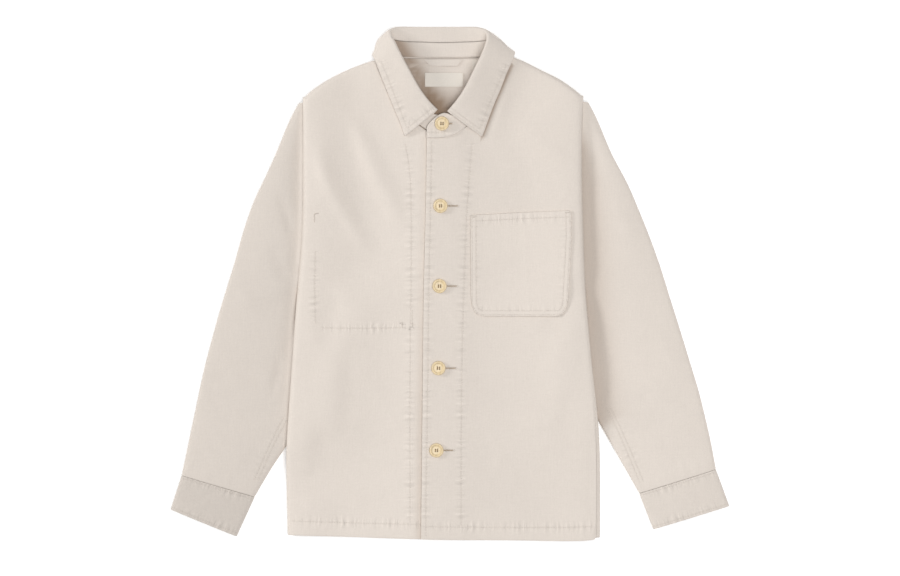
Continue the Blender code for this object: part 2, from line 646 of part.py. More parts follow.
def sleeve_station(outer, inner, crown, inner_low, inner_high, visible, open_edge):
    """One ring round a sleeve, from the inner end over the top, round and back underneath."""
    outer, inner = np.array(outer, float), np.array(inner, float)
    width = np.linalg.norm(inner - outer)
    way = (inner - outer) / width
    reach = min(SLEEVE_FOLD, width * 0.3)
    ring = []
    if open_edge:
        lap, front_z, back_z = open_edge
        valley = SLEEVE_EDGE + VALLEY_RISE
        ring.append((width + lap, front_z))
        ring.append((width - 1.5, mix(valley, front_z, 0.7)))
        ring.append((width - reach, mix(valley, front_z, 0.25)))
    else:
        middle, half = (inner_low + inner_high) / 2, (inner_high - inner_low) / 2
        for angle in (0, 45, 90):
            turn = math.radians(angle)
            ring.append((width - reach * (1 - math.cos(turn)), middle + half * math.sin(turn)))
    for share in SLEEVE_TOP_SHARES:
        q = mix(reach, width - reach, share)
        ring.append((q, sleeve_heights(q, visible * width, crown, ring[2][1])))
    edge = min(SLEEVE_EDGE, width * 1.3)
    for angle in OUTER_TURN:
        turn = math.radians(angle)
        ring.append((reach * (1 - math.cos(turn)), edge / 2 * (1 + math.sin(turn))))
    for share in SLEEVE_UNDER_SHARES:
        ring.append((mix(reach, width - reach, share), 0))
    if open_edge:
        ring.append((width - reach, 0.12 * back_z))
        ring.append((width - min(2.2, 0.6 * reach), 0.55 * back_z))
        ring.append((width - SEAM, back_z))
    else:
        for angle in (-90, -45, 0):
            turn = math.radians(angle)
            ring.append((width - reach * (1 - math.cos(turn)), middle + half * math.sin(turn)))
    return [(outer[0] + way[0] * q, outer[1] + way[1] * q, z) for q, z in ring]


def sleeve_grid(side):
    stations = RIGHT_SLEEVE if side == RIGHT else LEFT_SLEEVE
    ends = RIGHT_SLEEVE_END if side == RIGHT else LEFT_SLEEVE_END
    tucks = RIGHT_TUCK if side == RIGHT else LEFT_TUCK
    grid, joined = [], []
    for outer_x, outer_y, inner_y in stations:
        swell = smooth((SLEEVE_HEAD - outer_y) / HEAD_SWELL)
        crown = mix(SLEEVE_EDGE + 0.6, SLEEVE_CROWN, swell)
        edge, front_z, back_z = armhole(side, inner_y)
        if inner_y > UNDERARM:
            lap = mix(-SEAM, CLOTH * 0.8, smooth((inner_y - UNDERARM) / 30))
            grid.append(sleeve_station((outer_x, outer_y), (edge, inner_y), crown, 0, 0, 1,
                                       (lap, front_z - SEAM, back_z)))
            continue
        tuck = straight(tucks, inner_y)
        near = smooth((inner_y - UNDERARM + INNER_SWELL) / INNER_SWELL)
        low, high = mix(0, 2.2, near), mix(SLEEVE_EDGE, 10.4, near)
        inner_x = edge - side * tuck
        width = abs(inner_x - outer_x)
        visible = (width - max(tuck, 0)) / width
        joined.append(len(grid))
        grid.append(sleeve_station((outer_x, outer_y), (inner_x, inner_y), crown, low, high,
                                   visible, None))
    for outer_x, outer_y, inner_x, inner_y in ends:
        joined.append(len(grid))
        grid.append(sleeve_station((outer_x, outer_y), (inner_x, inner_y), SLEEVE_CROWN - 1,
                                   0, SLEEVE_EDGE, 1, None))
    return grid, joined


def make_sleeve(side, name, material):
    grid, joined = sleeve_grid(side)
    return wall(name, grid, CLOTH, material, outward=1 if side == RIGHT else -1, joined=joined)


def make_cuff(side, name, material):
    """A short tube from the cuff seam to the cuff's end."""
    start = (RIGHT_SLEEVE_END if side == RIGHT else LEFT_SLEEVE_END)[-1]
    end = RIGHT_CUFF if side == RIGHT else LEFT_CUFF
    start, end = np.array(start), np.array(end)
    down = (end - start) / np.linalg.norm((end - start)[:2])
    grid = []
    for share in (0, 0.5, 1):
        place = mix(start + down * SEAM, end, share)
        grid.append(sleeve_station(place[:2], place[2:], SLEEVE_CROWN - 1.6, 0, SLEEVE_EDGE,
                                   1, None))
    rows = range(len(grid))
    return wall(name, grid, BAND, material, outward=1 if side == RIGHT else -1, joined=rows)


# ---- collar ----

def collar_sections(ground, inside):
    """Every section of fall and stand, from the wearer's right leaf round to the left one."""
    sections = []
    count = len(LEFT_LEAF) - 1
    for leaf in (RIGHT_LEAF, tuple(reversed(LEFT_LEAF))):
        for place, row in enumerate(leaf):
            from_front = place if leaf is RIGHT_LEAF else count - place
            seam_reach = follow(SEAM_FROM_ROLL, from_front)
            sections.append(collar_section(row, seam_reach, ground, inside))
    return sections


def on_panel(x, y, ground):
    """Height of the fall's middle surface where it lies on what is under it."""
    reach = (-4, 0, 4)
    return max(ground(x + dx, y + dy) for dx in reach for dy in reach) + LAY + BAND / 2


def collar_section(row, seam_reach, ground, inside):
    """Mid-surface points of one section: the fall from seam to edge, then the stand.

    ground gives the height of the panels, inside that of the back alone.
    """
    roll_x, roll_y, roll_z, heading, lean, mx, my, mz, ex, ey, ez, nx, ny = row
    heading, lean = math.radians(heading), math.radians(lean)
    out = np.array((math.cos(heading), math.sin(heading), 0))
    up = np.array((0, 0, 1))
    crest = math.sin(lean) * out + math.cos(lean) * up
    leafward = math.cos(lean) * out - math.sin(lean) * up
    centre = np.array((roll_x, roll_y, roll_z)) - ROLL_RADIUS * crest
    bend = ROLL_RADIUS - BAND / 2
    stand_side = centre - bend * leafward
    neck = np.array((nx, ny, 0), float)
    rising = (stand_side - neck)[:2] / np.linalg.norm((stand_side - neck)[:2])
    butted = ground(nx - 2 * rising[0], ny - 2 * rising[1]) - BAND / 2
    laid = max(inside(nx + far * rising[0], ny + far * rising[1]) for far in NECK_REACHES)
    neck[2] = max(butted + 0.3, laid + LAY + BAND / 2 + 0.1)
    down = (neck - stand_side) / np.linalg.norm(neck - stand_side)
    seam = stand_side + down * seam_reach
    fall = [seam, mix(seam, stand_side, 0.6)]
    for angle in ROLL_TURN:
        turn = math.radians(angle)
        fall.append(centre + bend * (crest * math.cos(turn) + leafward * math.sin(turn)))
    if ez is None:
        ez = on_panel(ex, ey, ground)
        mz = (fall[-1][2] + ez) / 2 + LEAF_CROWN
    leaf = ((0, *fall[-1]), (0.5, mx, my, mz), (1, ex, ey, ez))
    fall += [follow(leaf, share) for share in LEAF_STEPS]
    stand_low = neck + NECK_CLEAR * np.array((*rising, 0))
    stand_top = seam + down * (SEAM + 0.3)
    return fall, [mix(stand_low, stand_top, share) for share in STAND_SHARES]


def refined(sections):
    """The sections with one more between each two, on a smooth curve through them."""
    points = np.array(sections, float)
    steps = np.linalg.norm(np.diff(points, axis=0), axis=2).mean(axis=1)
    places = np.concatenate(((0,), np.cumsum(steps)))
    table = [(place, *section.ravel()) for place, section in zip(places, points)]
    between = (places[1:] + places[:-1]) / 2
    wanted = np.sort(np.concatenate((places, between)))
    return np.array([follow(table, place) for place in wanted]).reshape(-1, *points.shape[1:])


def make_collar(ground, inside, material):
    fall = refined([section[0] for section in collar_sections(ground, inside)])
    normals = grid_normals(fall, ())
    return wall("collar", fall - normals * BAND / 2, BAND, material, outward=-1)


def make_stand(ground, inside, material):
    stand = list(refined([section[1] for section in collar_sections(ground, inside)]))
    low_z = stand[0][0][2]
    for row in UNDER_END:
        stand.insert(0, stand_end(row, low_z, UNDER_RISE))
    for row in OVER_END:
        stand.append(stand_end(row, low_z + BAND + LAY, OVER_RISE))
    stand = np.array(stand)
    normals = grid_normals(stand, ())
    return wall("collar_stand", stand - normals * BAND / 2, BAND, material, outward=-1)


def stand_end(row, low_z, rise):
    """A section of the stand where its ends lie on each other at the closure."""
    neck_x, neck_y, top_x, top_y = row
    low = np.array((neck_x, neck_y, low_z))
    high = np.array((top_x, top_y, low_z + rise))
    return [mix(low, high, share) for share in STAND_SHARES]


# ---- trim ----

def make_pocket(ground, material):
    grid = []
    for y, first, last in POCKET:
        row = []
        for step in np.linspace(0, 1, POCKET_COLUMNS):
            x = mix(first, last, step)
            here = y if y < 100 else follow(POCKET_TOP, x)
            row.append((x, here, ground(x, here) + SEAM + 0.3 + CLOTH))
        grid.append(row)
    return wall("chest_pocket", grid, CLOTH, material)


def make_patch(name, edges, ground, material, rise=0.0):
    """A small flat piece of cloth on the inside of the back."""
    (low_x, low_y), (high_x, high_y) = edges
    grid = []
    for v in (0, 0.5, 1):
        row = []
        for s in (0, 0.2, 0.5, 0.8, 1):
            x = mix(mix(low_x[0], high_x[0], v), mix(low_x[1], high_x[1], v), s)
            y = mix(low_y, high_y, v)
            spot = max(ground(x + dx, y) for dx in (-3, 0, 3))
            row.append((x, y, spot + SEAM + TRIM_THICK + rise * math.sin(math.pi * s)))
        grid.append(row)
    return wall(name, grid, TRIM_THICK, material)


def make_button(name, x, y, ground, material):
    """A turned button with a raised rim, a dished middle and four holes."""
    spots = [ground(x, y)]
    for step in range(16):
        turn = step * math.pi / 8
        for share in (0.5, 1):
            reach = BUTTON_RADIUS * share
            spots.append(ground(x + reach * math.cos(turn), y + reach * math.sin(turn)))
    base = max(spots) + SEAM
    radius, thick = BUTTON_RADIUS, BUTTON_THICK
    profile = ((radius - BUTTON_RIM, 0), (radius, 1.2), (radius, 2.2), (radius - 1, thick),
               (radius - 2.6, thick - 0.2), (radius - 4, thick - BUTTON_DISH))
    sides, rings = BUTTON_SIDES, len(profile)
    vertices, faces = [], []
    for r, z in profile:
        for side in range(sides):
            turn = 2 * math.pi * side / sides
            vertices.append((x + r * math.cos(turn), y + r * math.sin(turn), base + z))
    for ring in range(rings - 1):
        for side in range(sides):
            after = (side + 1) % sides
            faces.append((ring * sides + side, ring * sides + after,
                          (ring + 1) * sides + after, (ring + 1) * sides + side))
    faces.append(tuple(range(sides)))
    faces.append(tuple((rings - 1) * sides + side for side in range(sides)))
    button = make_object(name, vertices, faces, material)
    for number in range(4):
        turn = math.pi / 4 + number * math.pi / 2
        hole_x = x + BUTTON_HOLE_OUT * math.cos(turn)
        hole_y = y + BUTTON_HOLE_OUT * math.sin(turn)
        cut_hole(button, name, number, hole_x, hole_y, base)
    return button


def cut_hole(button, name, number, x, y, base):
    bpy.ops.mesh.primitive_cylinder_add(
        vertices=8, radius=BUTTON_HOLE * MM, depth=4 * BUTTON_THICK * MM,
        location=(x * MM, y * MM, base * MM))
    drill = bpy.context.object
    drill.name = f"{name}_drill_{number}"
    drill.hide_render = True
    drill.display_type = "WIRE"
    cut = button.modifiers.new(f"hole_{number}", "BOOLEAN")
    cut.operation = "DIFFERENCE"
    cut.object = drill


def make_material(name, colour, roughness):
    material = bpy.data.materials.new(name)
    material.use_nodes = True
    shader = material.node_tree.nodes["Principled BSDF"]
    shader.inputs["Base Color"].default_value = (*colour, 1)
    shader.inputs["Roughness"].default_value = roughness
    shader.inputs["Metallic"].default_value = 0
    return material


def main():
    for obj in list(bpy.data.objects):
        bpy.data.objects.remove(obj)
    denim = make_material("undyed_denim", (0.76, 0.70, 0.61), 0.9)
    horn = make_material("straw_button", (0.72, 0.56, 0.33), 0.35)
    tape = make_material("woven_tape", (0.83, 0.80, 0.74), 0.85)

    back = make_back(denim)
    front_right = make_front(RIGHT, "front_right", denim)
    front_left = make_front(LEFT, "front_left", denim)
    for side, name in ((RIGHT, "right"), (LEFT, "left")):
        make_sleeve(side, f"sleeve_{name}", denim)
        make_cuff(side, f"cuff_{name}", denim)
    ground = ground_of(back, front_right, front_left)
    inside = ground_of(back)
    stand = make_stand(ground, inside, denim)
    make_collar(ground, inside, denim)
    make_pocket(ground_of(front_left), denim)
    make_patch("hanger_loop", LOOP, inside, denim, rise=LOOP_RISE)
    make_patch("neck_label", LABEL, inside, tape)
    make_patch("size_tag", TAG, inside, tape)
    under_buttons = ground_of(front_right, front_left, stand)
    for number, (x, y) in enumerate(BUTTONS, start=1):
        make_button(f"button_{number}", x, y, under_buttons, horn)
    centre_all()


def centre_all():
    """Bring the middle of the underside of the whole jacket's bounding box to the origin."""
    nodes = [obj for obj in bpy.data.objects if not obj.hide_render]
    corners = np.array([vertex.co for obj in nodes for vertex in obj.data.vertices])
    low, high = corners.min(axis=0), corners.max(axis=0)
    shift = -Vector(((low[0] + high[0]) / 2, (low[1] + high[1]) / 2, low[2]))
    for obj in nodes:
        obj.data.transform(Matrix.Translation(shift))
    for obj in bpy.data.objects:
        if obj.hide_render:
            obj.location += shift


main()
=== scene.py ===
"""The looks of an undyed denim jacket lying flat: cloth, stitching and buttons over the solids.

Tables are in millimetres in the frame of the solids: x to the right of the picture, y up the
picture, z up from the surface. The camera looks straight down. Each cloth piece is a smooth
copy of its solid's wall, moved by creases that were placed one by one. A stitch line is stored on
a piece's points as a distance, which the cloth's material turns into a groove with puckers,
and carries threads of its own.
"""

import math

import bmesh
import bpy
import numpy as np
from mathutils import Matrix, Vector
from mathutils.bvhtree import BVHTree


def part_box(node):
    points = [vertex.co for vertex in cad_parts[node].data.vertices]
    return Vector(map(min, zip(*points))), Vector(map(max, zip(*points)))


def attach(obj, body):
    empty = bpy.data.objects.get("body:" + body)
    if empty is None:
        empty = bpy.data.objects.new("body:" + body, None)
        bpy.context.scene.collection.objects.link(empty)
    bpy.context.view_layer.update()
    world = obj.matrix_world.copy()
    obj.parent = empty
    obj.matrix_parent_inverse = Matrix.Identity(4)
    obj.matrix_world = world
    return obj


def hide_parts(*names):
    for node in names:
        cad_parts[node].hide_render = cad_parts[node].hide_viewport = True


MM = 0.001
RIM_ANGLE = math.radians(50)  # edges sharper than this are a wall's rim
RIM_CREASE = 0.6  # how sharp a rim stays, 1 is a cut edge and 0 a round one
FAR = 99.0  # the distance stored where no stitch line is near
LINE_REACH = 16.0  # how far from a stitch line its distance is stored
LINES = 6  # stitch lines that one piece can carry
WELD = 0.00001  # metres within which a solid's points are one
FACE_ANGLE = math.radians(35)  # a solid's triangles are joined in pairs up to these angles
CORNER_ANGLE = math.radians(70)
RAY_START = 0.2  # metres above the surface, over everything

# The picture: millimetres to a pixel, and the pixel at the frame's origin
SCALE = 1.45
PICTURE = (900, 576)
ORIGIN_PIXEL = (450.0, 283.8)

# piece: subdivision levels, flat width and length and area in metres, what it lies on
CLOTHS = {
    "back": (2, 0.49, 0.70, 0.287, ()),
    "front_right": (3, 0.25, 0.70, 0.154, ("back",)),
    "front_left": (3, 0.26, 0.70, 0.158, ("back", "front_right")),
    "sleeve_right": (3, 0.30, 0.57, 0.115, ()),
    "sleeve_left": (3, 0.30, 0.57, 0.121, ()),
    "cuff_right": (3, 0.225, 0.052, 0.0117, ()),
    "cuff_left": (3, 0.24, 0.052, 0.0124, ()),
    "collar": (2, 0.49, 0.075, 0.0297, ("collar_stand", "front_right", "front_left")),
    "collar_stand": (2, 0.44, 0.036, 0.0125, ("back",)),
    "chest_pocket": (4, 0.147, 0.153, 0.0213, ("front_left",)),
    "hanger_loop": (3, 0.058, 0.011, 0.0005, ("back",)),
    "neck_label": (3, 0.056, 0.021, 0.0011, ("back",)),
    "size_tag": (3, 0.011, 0.017, 0.00018, ("back",)),
}
TAPES = ("neck_label", "size_tag")
ON_FRONTS = ("front_right", "front_left")
SLEEVES = ("sleeve_right", "sleeve_left")
CUFFS = ("cuff_right", "cuff_left")

# y, x of the body's edge at the left and at the right of the picture
BODY_EDGES = ((-371, -234.9, 217.5), (-241, -237.0, 217.3), (-110, -228.0, 204.5),
              (-23, -222.0, 197.2), (78, -214.0, 193.0), (195, -213.2, 190.8), (345, -213.0, 193.5))
EDGE_REST, EDGE_FADE = 4.0, 26.0  # how near the body's edge creases end, and over what
NECK_FADE = 0.25  # the same at the collar, as a share of its reach
SHOULDER_LINE = ((-213, 270), (-177, 295), (-107, 324), (80, 331), (130, 310), (193, 272))
NECK_MIDDLE, NECK_REACH = (-8.0, 282.0), (128.0, 86.0)  # the collar's area, left uncreased

CREASE_ENDS = 0.3  # share of a crease's length over which an end fades
STEEP_SIDE = 0.72  # width of a crease's right side against its left
DEEPEST = -0.3  # the lowest that creases press a front

# Creases on the fronts. x, y of both ends; how far the middle bows to the left of the way from
# the first to the second; half width; height, which is negative in a trough
FRONT_CREASES = (
    (-128, 40, -165, -290, 0, 44, 6.5),
    (150, -290, 118, 40, 0, 44, 5.0),
    (-140, 252, -60, 72, -9, 16, 3.8),
    (-206, 216, -106, 34, -8, 16, 3.6),
    (92, 246, 172, 176, -6, 15, 2.4),
    (-228, -266, -194, -271, 1, 5, 1.0),
    (-220, -318, -158, -344, 4, 10, 1.0),
    (-178, -282, -120, -330, 3, 12, 0.7),
    (56, -252, 104, -294, 3, 9, 0.9),
    (20, -260, 74, -308, -2, 8, 0.8),
    (29, -80, 200, -66, -17, 8, 0.9),
    (-218, -80, -100, -92, 9, 8, 0.9),
    (-150, -128, -92, -168, 5, 13, 0.7),
    (-16, -22, 15, -33, 1, 3.6, 0.9),
    (-24, -13, 6, -19, 1, 3.2, 0.6),
    (-4, -40, 18, -61, -1, 3.8, 0.8),
    (-24, -134, 4, -158, 1, 5, 0.5),
    (-26, -250, 2, -284, 2, 6, 0.6),
    (-22, 100, 8, 76, 1, 5, 0.5),
    (150, 112, 179, 134, 2, 4.5, 0.7),
    (118, 196, 150, 116, -5, 12, 0.7),
    (62, 208, 96, 130, 4, 14, 0.6),
    (120, -150, 190, -190, 8, 14, 0.7),
    (-196, 20, -140, -40, 6, 15, 0.6),
    (80, 20, 140, -20, 5, 12, 0.5),
)
# Rows of small puckers along sewn edges: x, y of the row's ends, how far each pucker reaches
# either side of the row, how many, half width, height
FRONT_PUCKERS = (
    (-51, 150, -52, -30, 13, 13, 2.8, 1.25),
    (-52, -60, -54, -340, 12, 17, 3.0, 1.05),
    (-29, 150, -34, -330, 8, 30, 2.6, 0.60),
    (22, 100, 15, -340, 9, 26, 2.8, 0.60),
    (-228, -353, -44, -359, 9, 13, 3.4, 0.40),
    (-36, -361, 212, -361, 9, 17, 3.4, 0.42),
)
SLEEVE_CREASES = (
    (-252, 132, -230, 66, 4, 9, -1.6),
    (-262, 60, -236, -6, 3, 11, -1.0),
    (-246, -96, -262, -170, 4, 9, -1.2),
    (-330, 20, -286, -46, 6, 14, 1.0),
    (-352, -90, -300, -150, 8, 14, 0.9),
    (-372, -196, -322, -238, 5, 10, 1.0),
    (-352, -150, -306, -206, -4, 8, -0.9),
    (-340, -238, -292, -262, 4, 7, 0.9),
    (276, -163.5, 288, -162, 1, 2.6, -1.0),
    (262, -224, 312, -246, 6, 8, 0.9),
    (244, -206, 300, -232, 4, 8, -0.8),
    (300, -66, 336, -122, -5, 13, 0.8),
    (286, -150, 346, -214, 7, 13, 0.8),
    (230, 130, 262, 60, 5, 13, 0.8),
    (208, 236, 222, 214, 1, 4, -0.8),
    (204, 246, 214, 228, 1, 3, -0.6),
)
SLEEVE_PUCKERS = (
    (-380, -262, -290, -294, 9, 9, 3.4, 0.45),
    (378, -254, 284, -288, 9, 9, 3.4, 0.45),
)
SLEEVE_FADE = 22.0  # from the body's edge, over which a sleeve's creases begin
SLEEVE_TOP, SLEEVE_TOP_FADE = 250.0, 40.0  # y where they end at the shoulder
CUFF_FADE = 9.0  # how near the cuff's seam they end
# Only the upper layer of a sleeve or cuff moves: height where it starts, and over what
UPPER_FROM, UPPER_FADE = 3.2, 2.4
CUFF_SEAM_FADE = 12.0
CUFF_SWELL, CUFF_SINK = 1.8, 0.2  # a cuff's waves are shorter by this, and lie lower
# The dip of a sleeve beside the body: how deep, and how far from the body it is deepest
VALLEYS = {"sleeve_right": (2.6, 6.0), "sleeve_left": (4.2, 12.0)}
VALLEY_ENDS = (-190.0, 236.0)  # y between which it runs
VALLEY_FADE = 60.0
VALLEY_REACH = 90.0  # it ends this far from the body
# At the armhole's foot the solids leave a slit between sleeve and body, which this closes as
# seen from above: how far a sleeve's edge moves in, from how far out, and y between which
SLIT, SLIT_REACH = 2.4, 12.0
SLIT_ENDS = (-85.0, 35.0)
SLIT_FADE = 20.0
# The collar stand's front tab is sewn over the front's neckline: y below which it moves, height
# over which it is the upper layer, x of its middle, and how far down and up its edge moves
TAB_TOP, TAB_UNDER, TAB_MIDDLE = 229.0, 4.9, -8.0
TAB_DOWN, TAB_UP = 3.0, 2.0
TAB_FADE, TAB_LAYER_FADE, TAB_HALF = 10.0, 0.3, 45.0
SWELLS = ((0.55, 118.0, 0.4), (0.25, 49.0, 1.9))  # slow waves all over: height, length, phase

# Stitch lines on each piece: x, y along the line
PANEL_LINES = {
    "front_left": (
        ((-26.5, 206), (-28, 121), (-30.5, 5), (-33, -190), (-35, -313), (-35, -366)),
        ((32, 206), (24.5, 107), (20.5, 5), (17.5, -96), (16, -241), (16, -350)),
        ((-41, -351.5), (72, -352.7), (160, -352.4), (207, -351)),
    ),
    "front_right": (
        ((-65, 203), (-59.5, 172), (-56.5, 121), (-56.5, 5), (-58, -139), (-58, -313), (-58, -347)),
        ((-229, -343), (-174, -345), (-116, -347), (-43, -348.5)),
        ((-186, -63.5), (-130, -64.2), (-60, -63.6)),
        ((-194.5, 48), (-195.6, 0), (-194.5, -58)),
        ((-54.5, -37), (-54.5, -62)),
    ),
    "sleeve_right": (((-236, -196), (-254, -231), (-268, -262), (-279, -287.5)),
                     ((-241, -193), (-259, -229), (-273, -260), (-284, -285))),
    "sleeve_left": (((227, -180), (241, -209), (256, -243), (276, -291)),
                    ((232, -178), (246, -207), (261, -241), (281, -289))),
}
# Cuffs: outer and inner end of the cuff seam, outer and inner end of the free edge
CUFF_CORNERS = {
    "cuff_right": ((-388.6, -277.3), (-282.8, -308.4), (-404.6, -326.6), (-308.9, -365.7)),
    "cuff_left": ((385.1, -268.6), (274.1, -303.4), (404.6, -321.6), (294.4, -355.6)),
}
CUFF_SHARES = (0.06, 0.93)  # where its two stitch lines lie, from seam to edge
# The leaves of the collar: edge from the neck round the point to the front of the roll
LEAVES = (
    ((-107, 321), (-86, 268), (-65.3, 213.4), (-17.4, 251.6)),
    ((-4.6, 249.4), (46.4, 212.8), (66.5, 265), (89, 316)),
)
LEAF_INSET = 7.0
LEAF_SECOND = 2.4  # the second line on the leaf at the right of the picture
STAND_LINE = ((-36, 219), (-24, 218.6), (-12, 219.4), (-3, 221.6))
POCKET_EDGE = (
    (29.8, 99), (30.2, 5), (30.5, -30.3), (36, -41.3), (42, -46.6), (160, -46.6),
    (165, -41.3), (170.2, -30.3), (172, 5), (174, 40), (175.4, 71), (174.6, 105.4),
)
POCKET_INSETS = (1.8, 7.6)
POCKET_HEM = ((31.5, 90.6), (100, 94), (173, 96.6))
# Bar tacks: x, y of both ends
TACKS = {
    "front_right": ((-196, 89, -196, 101), (-196, 101, -190, 102), (-54.5, -56, -54.5, -63.5),
                    (-69.5, -56, -69.5, -63.5)),
    "chest_pocket": ((31.2, 96.5, 38.5, 97), (166, 102.6, 173, 103.2)),
}

# Threads
STITCH_PITCH = 3.5
STITCH_LENGTH = 2.5
THREAD = 0.34  # half the width of a thread
STITCH_RISE = 0.10  # how far a stitch's middle stands over the cloth
STITCH_SINK = 0.22  # and how deep its ends go in
STITCH_SHARES = (0, 0.22, 0.78, 1)  # where it bends
STITCH_RADII = (0.6, 1, 1, 0.6)  # its thickness there
STITCH_STEP = 1.2  # over a step higher than this there is no stitch
FIRST_STITCH = 0.4  # where a row's first stitch starts
LINE_STEP = 12  # between the points of a stitch line
STAND_STEP = 6  # and of the stand's short one
SEWN_STEP = 0.8  # and of the path that its stitches follow
STRAIGHT_POINTS = 200  # on such a path where it is straight
CORNER_RADIUS = 2.0
TACK_HALF, TACK_PITCH = 0.9, 0.75

# Buttons, as in the solids: x, y. A buttonhole runs to the right of each
BUTTONS = ((-11.6, 231.7), (-13.8, 112.7), (-15.2, -3.3), (-16.7, -122.1), (-19.6, -241.0))
BUTTON_PROFILE = (
    (7.4, 0.0), (8.9, 0.25), (9.8, 0.9), (10.2, 1.8), (10.1, 2.6), (9.6, 3.2), (8.9, 3.4),
    (8.2, 3.35), (7.5, 3.05), (6.8, 2.65), (6.0, 2.4), (5.0, 2.3),
)
BUTTON_SIDES, DRILL_SIDES = 64, 18
BUTTON_STEP = 0.35  # between the points of the profile
BUTTON_SHARP = math.radians(38)  # edges sharper than this stay sharp
DRILL_BELOW, DRILL_ABOVE = 2, 7
BUTTON_HOLE = 1.05
BUTTON_HOLE_OUT = 1.5  # across and up from the middle
HOLE_START = 3.0  # the buttonhole, from the button's middle
HOLE_ENDS = (14.5, 25.5, 25.5, 25.0, 24.5)
HOLE_RAIL = 1.25  # middle of the stitched rim, out from the slit
HOLE_PITCH = 0.75
HOLE_IN, HOLE_OUT = 0.8, 0.65  # how far its stitches reach either side of the rim's middle
HOLE_BAR = (0.3, 0.9, 1.5)  # stitches past its end
HOLE_BAR_OUT = 0.5
HOLE_THREAD = 0.36
GAP_POINTS, GAP_LIFT, GAP_FLAT = 16, 0.06, 0.35
GAP_RADIUS, GAP_END_RADIUS = 0.48, 0.2
# Thread in a button: each strand's place and lean, where it bends, and its heights
STRANDS = ((-0.42, 0.1), (0, -0.06), (0.42, 0.08))
STRAND_SHARES = (-1.0, -0.8, -0.4, 0, 0.4, 0.8, 1.0)
STRAND_ARCH, STRAND_LIFT, STRAND_DROP = 0.62, 0.1, 1.6

# Colours, as shares of light sent back
DENIM = (0.745, 0.675, 0.61)
PAINTED_SHADE_COLOUR = (0.32, 0.23, 0.165)  # painted shade: the same cloth's colour where little light reaches
TAPE = (0.86, 0.80, 0.72)
THREAD_COLOUR = (0.80, 0.725, 0.65)
BUTTON_THREAD = (0.40, 0.27, 0.14)
STRAW = (0.76, 0.60, 0.36)
# painted shade: the dark inside a buttonhole's slit
GAP = (0.40, 0.28, 0.17)
TWILL_ANGLE = math.radians(-62)
# pieces with a denim of their own: its name, and the angle of its warp to the body's
GRAINS = {
    "front_right": ("denim_right_front", 0),
    "front_left": ("denim_left_front", 0),
    "sleeve_right": ("denim_right_sleeve", -18),
    "sleeve_left": ("denim_left_sleeve", 18),
    "collar": ("denim_collar", 90),
    "cuff_right": ("denim_right_cuff", 72),
    "cuff_left": ("denim_left_cuff", -72),
}
# tones of single pieces against the rest: painted shade where below 1, painted light where above 1
PAINTED_LIGHT_AND_SHADE = {"sleeve_right": 0.945, "cuff_right": 0.86, "cuff_left": 0.955, "front_right": 1.035,
         "front_left": 0.985}
GROOVE_WIDTH = 1.2  # of a stitch line's groove
PUCKER_WIDTH = 7.5  # and of the puckers along it
PUCKER_LENGTH = 5.5  # from one pucker to the next, roughly
SEWN_REACH, SEWN_FADE = 8.0, 5.0  # how far from a line its marks reach, and over what they end
LINES_APART = 3.0  # puckers end where two lines are as near to within this
# Painted shade: a deeper tone painted on upward faces, where the picture is darker than the lights
# make it
UPWARD = 0.5  # a face's upward share from which it takes all of the tone
NECK_SHADE_TOP, NECK_SHADE_RUN = 298.0, 52.0  # y below which the painted shade inside the neck deepens, over what
NECK_SHADE_LEAST, NECK_SHADE_DROP = 0.02, 0.6  # its depth above that, and what is added
NECK_SHADE_HALF = 100.0  # how far it reaches to either side
NECK_SHADE_FADE = 20.0
NECK_SHADE_SIDE = ((-87, 369), (-17, 253))  # the roll that shades it most
NECK_SHADE_DEPTH, NECK_SHADE_WIDTH = 0.8, 13.0
NECK_SHADE_END = 190.0  # y where it ends, under the fronts
STAND_SHADE_FROM = 290.0  # y from which the stand is shaded by that roll
# y, and how far the body's edge shades the sleeve at the right of the picture
SLEEVE_SHADE = ((-215, 0.1), (-190, 30), (63, 31), (150, 22), (194, 11), (236, 0.1))
SLEEVE_SHADE_DEPTH, SLEEVE_SHADE_FADE = 0.42, 12.0
LEAF_SHADE = ((89, 316), (66.5, 265), (46.4, 212.8))  # the leaf's edge that stands proud
LEAF_SHADE_DEPTH, LEAF_SHADE_WIDTH, LEAF_SHADE_PAST = 0.72, 3.0, 2.0
CLOSURE_SHADE = ((-33, 206), (-34.5, 121), (-37, 5), (-39.5, -190), (-41.5, -366))
CLOSURE_SHADE_DEPTH, CLOSURE_SHADE_WIDTH = 0.26, 9.0
CLOSURE_SHADE_LEAST = 0.45  # share of it at the top
CLOSURE_SHADE_TOP, CLOSURE_SHADE_RUN = 60.0, 260.0  # y below which it deepens, and over what

# Camera, surface and light, in metres. A lamp: name, place, size, power
CAMERA_HEIGHT, CAMERA_SENSOR, CAMERA_END = 4.2, 36, 50
FLOOR_SIZE, FLOOR_HEIGHT, FLOOR_TONE = 30, -0.0006, 0.95
ROOM_LIGHT = 0.30
FLOOR_GLOW = 0.20
LIGHTS = (
    ("overhead", (0.75, -0.3, 3.4), 2.8, 86),
    ("key", (-6.0, 1.7, 2.2), 1.5, 190),
)


# ---- small mathematics ----

def smooth(t):
    """0 to 1 with soft ends, for numbers and arrays alike."""
    t = np.clip(t, 0.0, 1.0)
    return t * t * (3 - 2 * t)


def between(values, ends, fade):
    """1 between the two ends and 0 outside them, with a fade inside each."""
    return smooth((values - ends[0]) / fade) * smooth((ends[1] - values) / fade)


def straight_way(x0, y0, x1, y1):
    """Start, end, direction, and direction to the left, of the way between two places."""
    start, end = np.array((x0, y0), float), np.array((x1, y1), float)
    way = (end - start) / np.linalg.norm(end - start)
    return start, end, way, np.array((-way[1], way[0]))


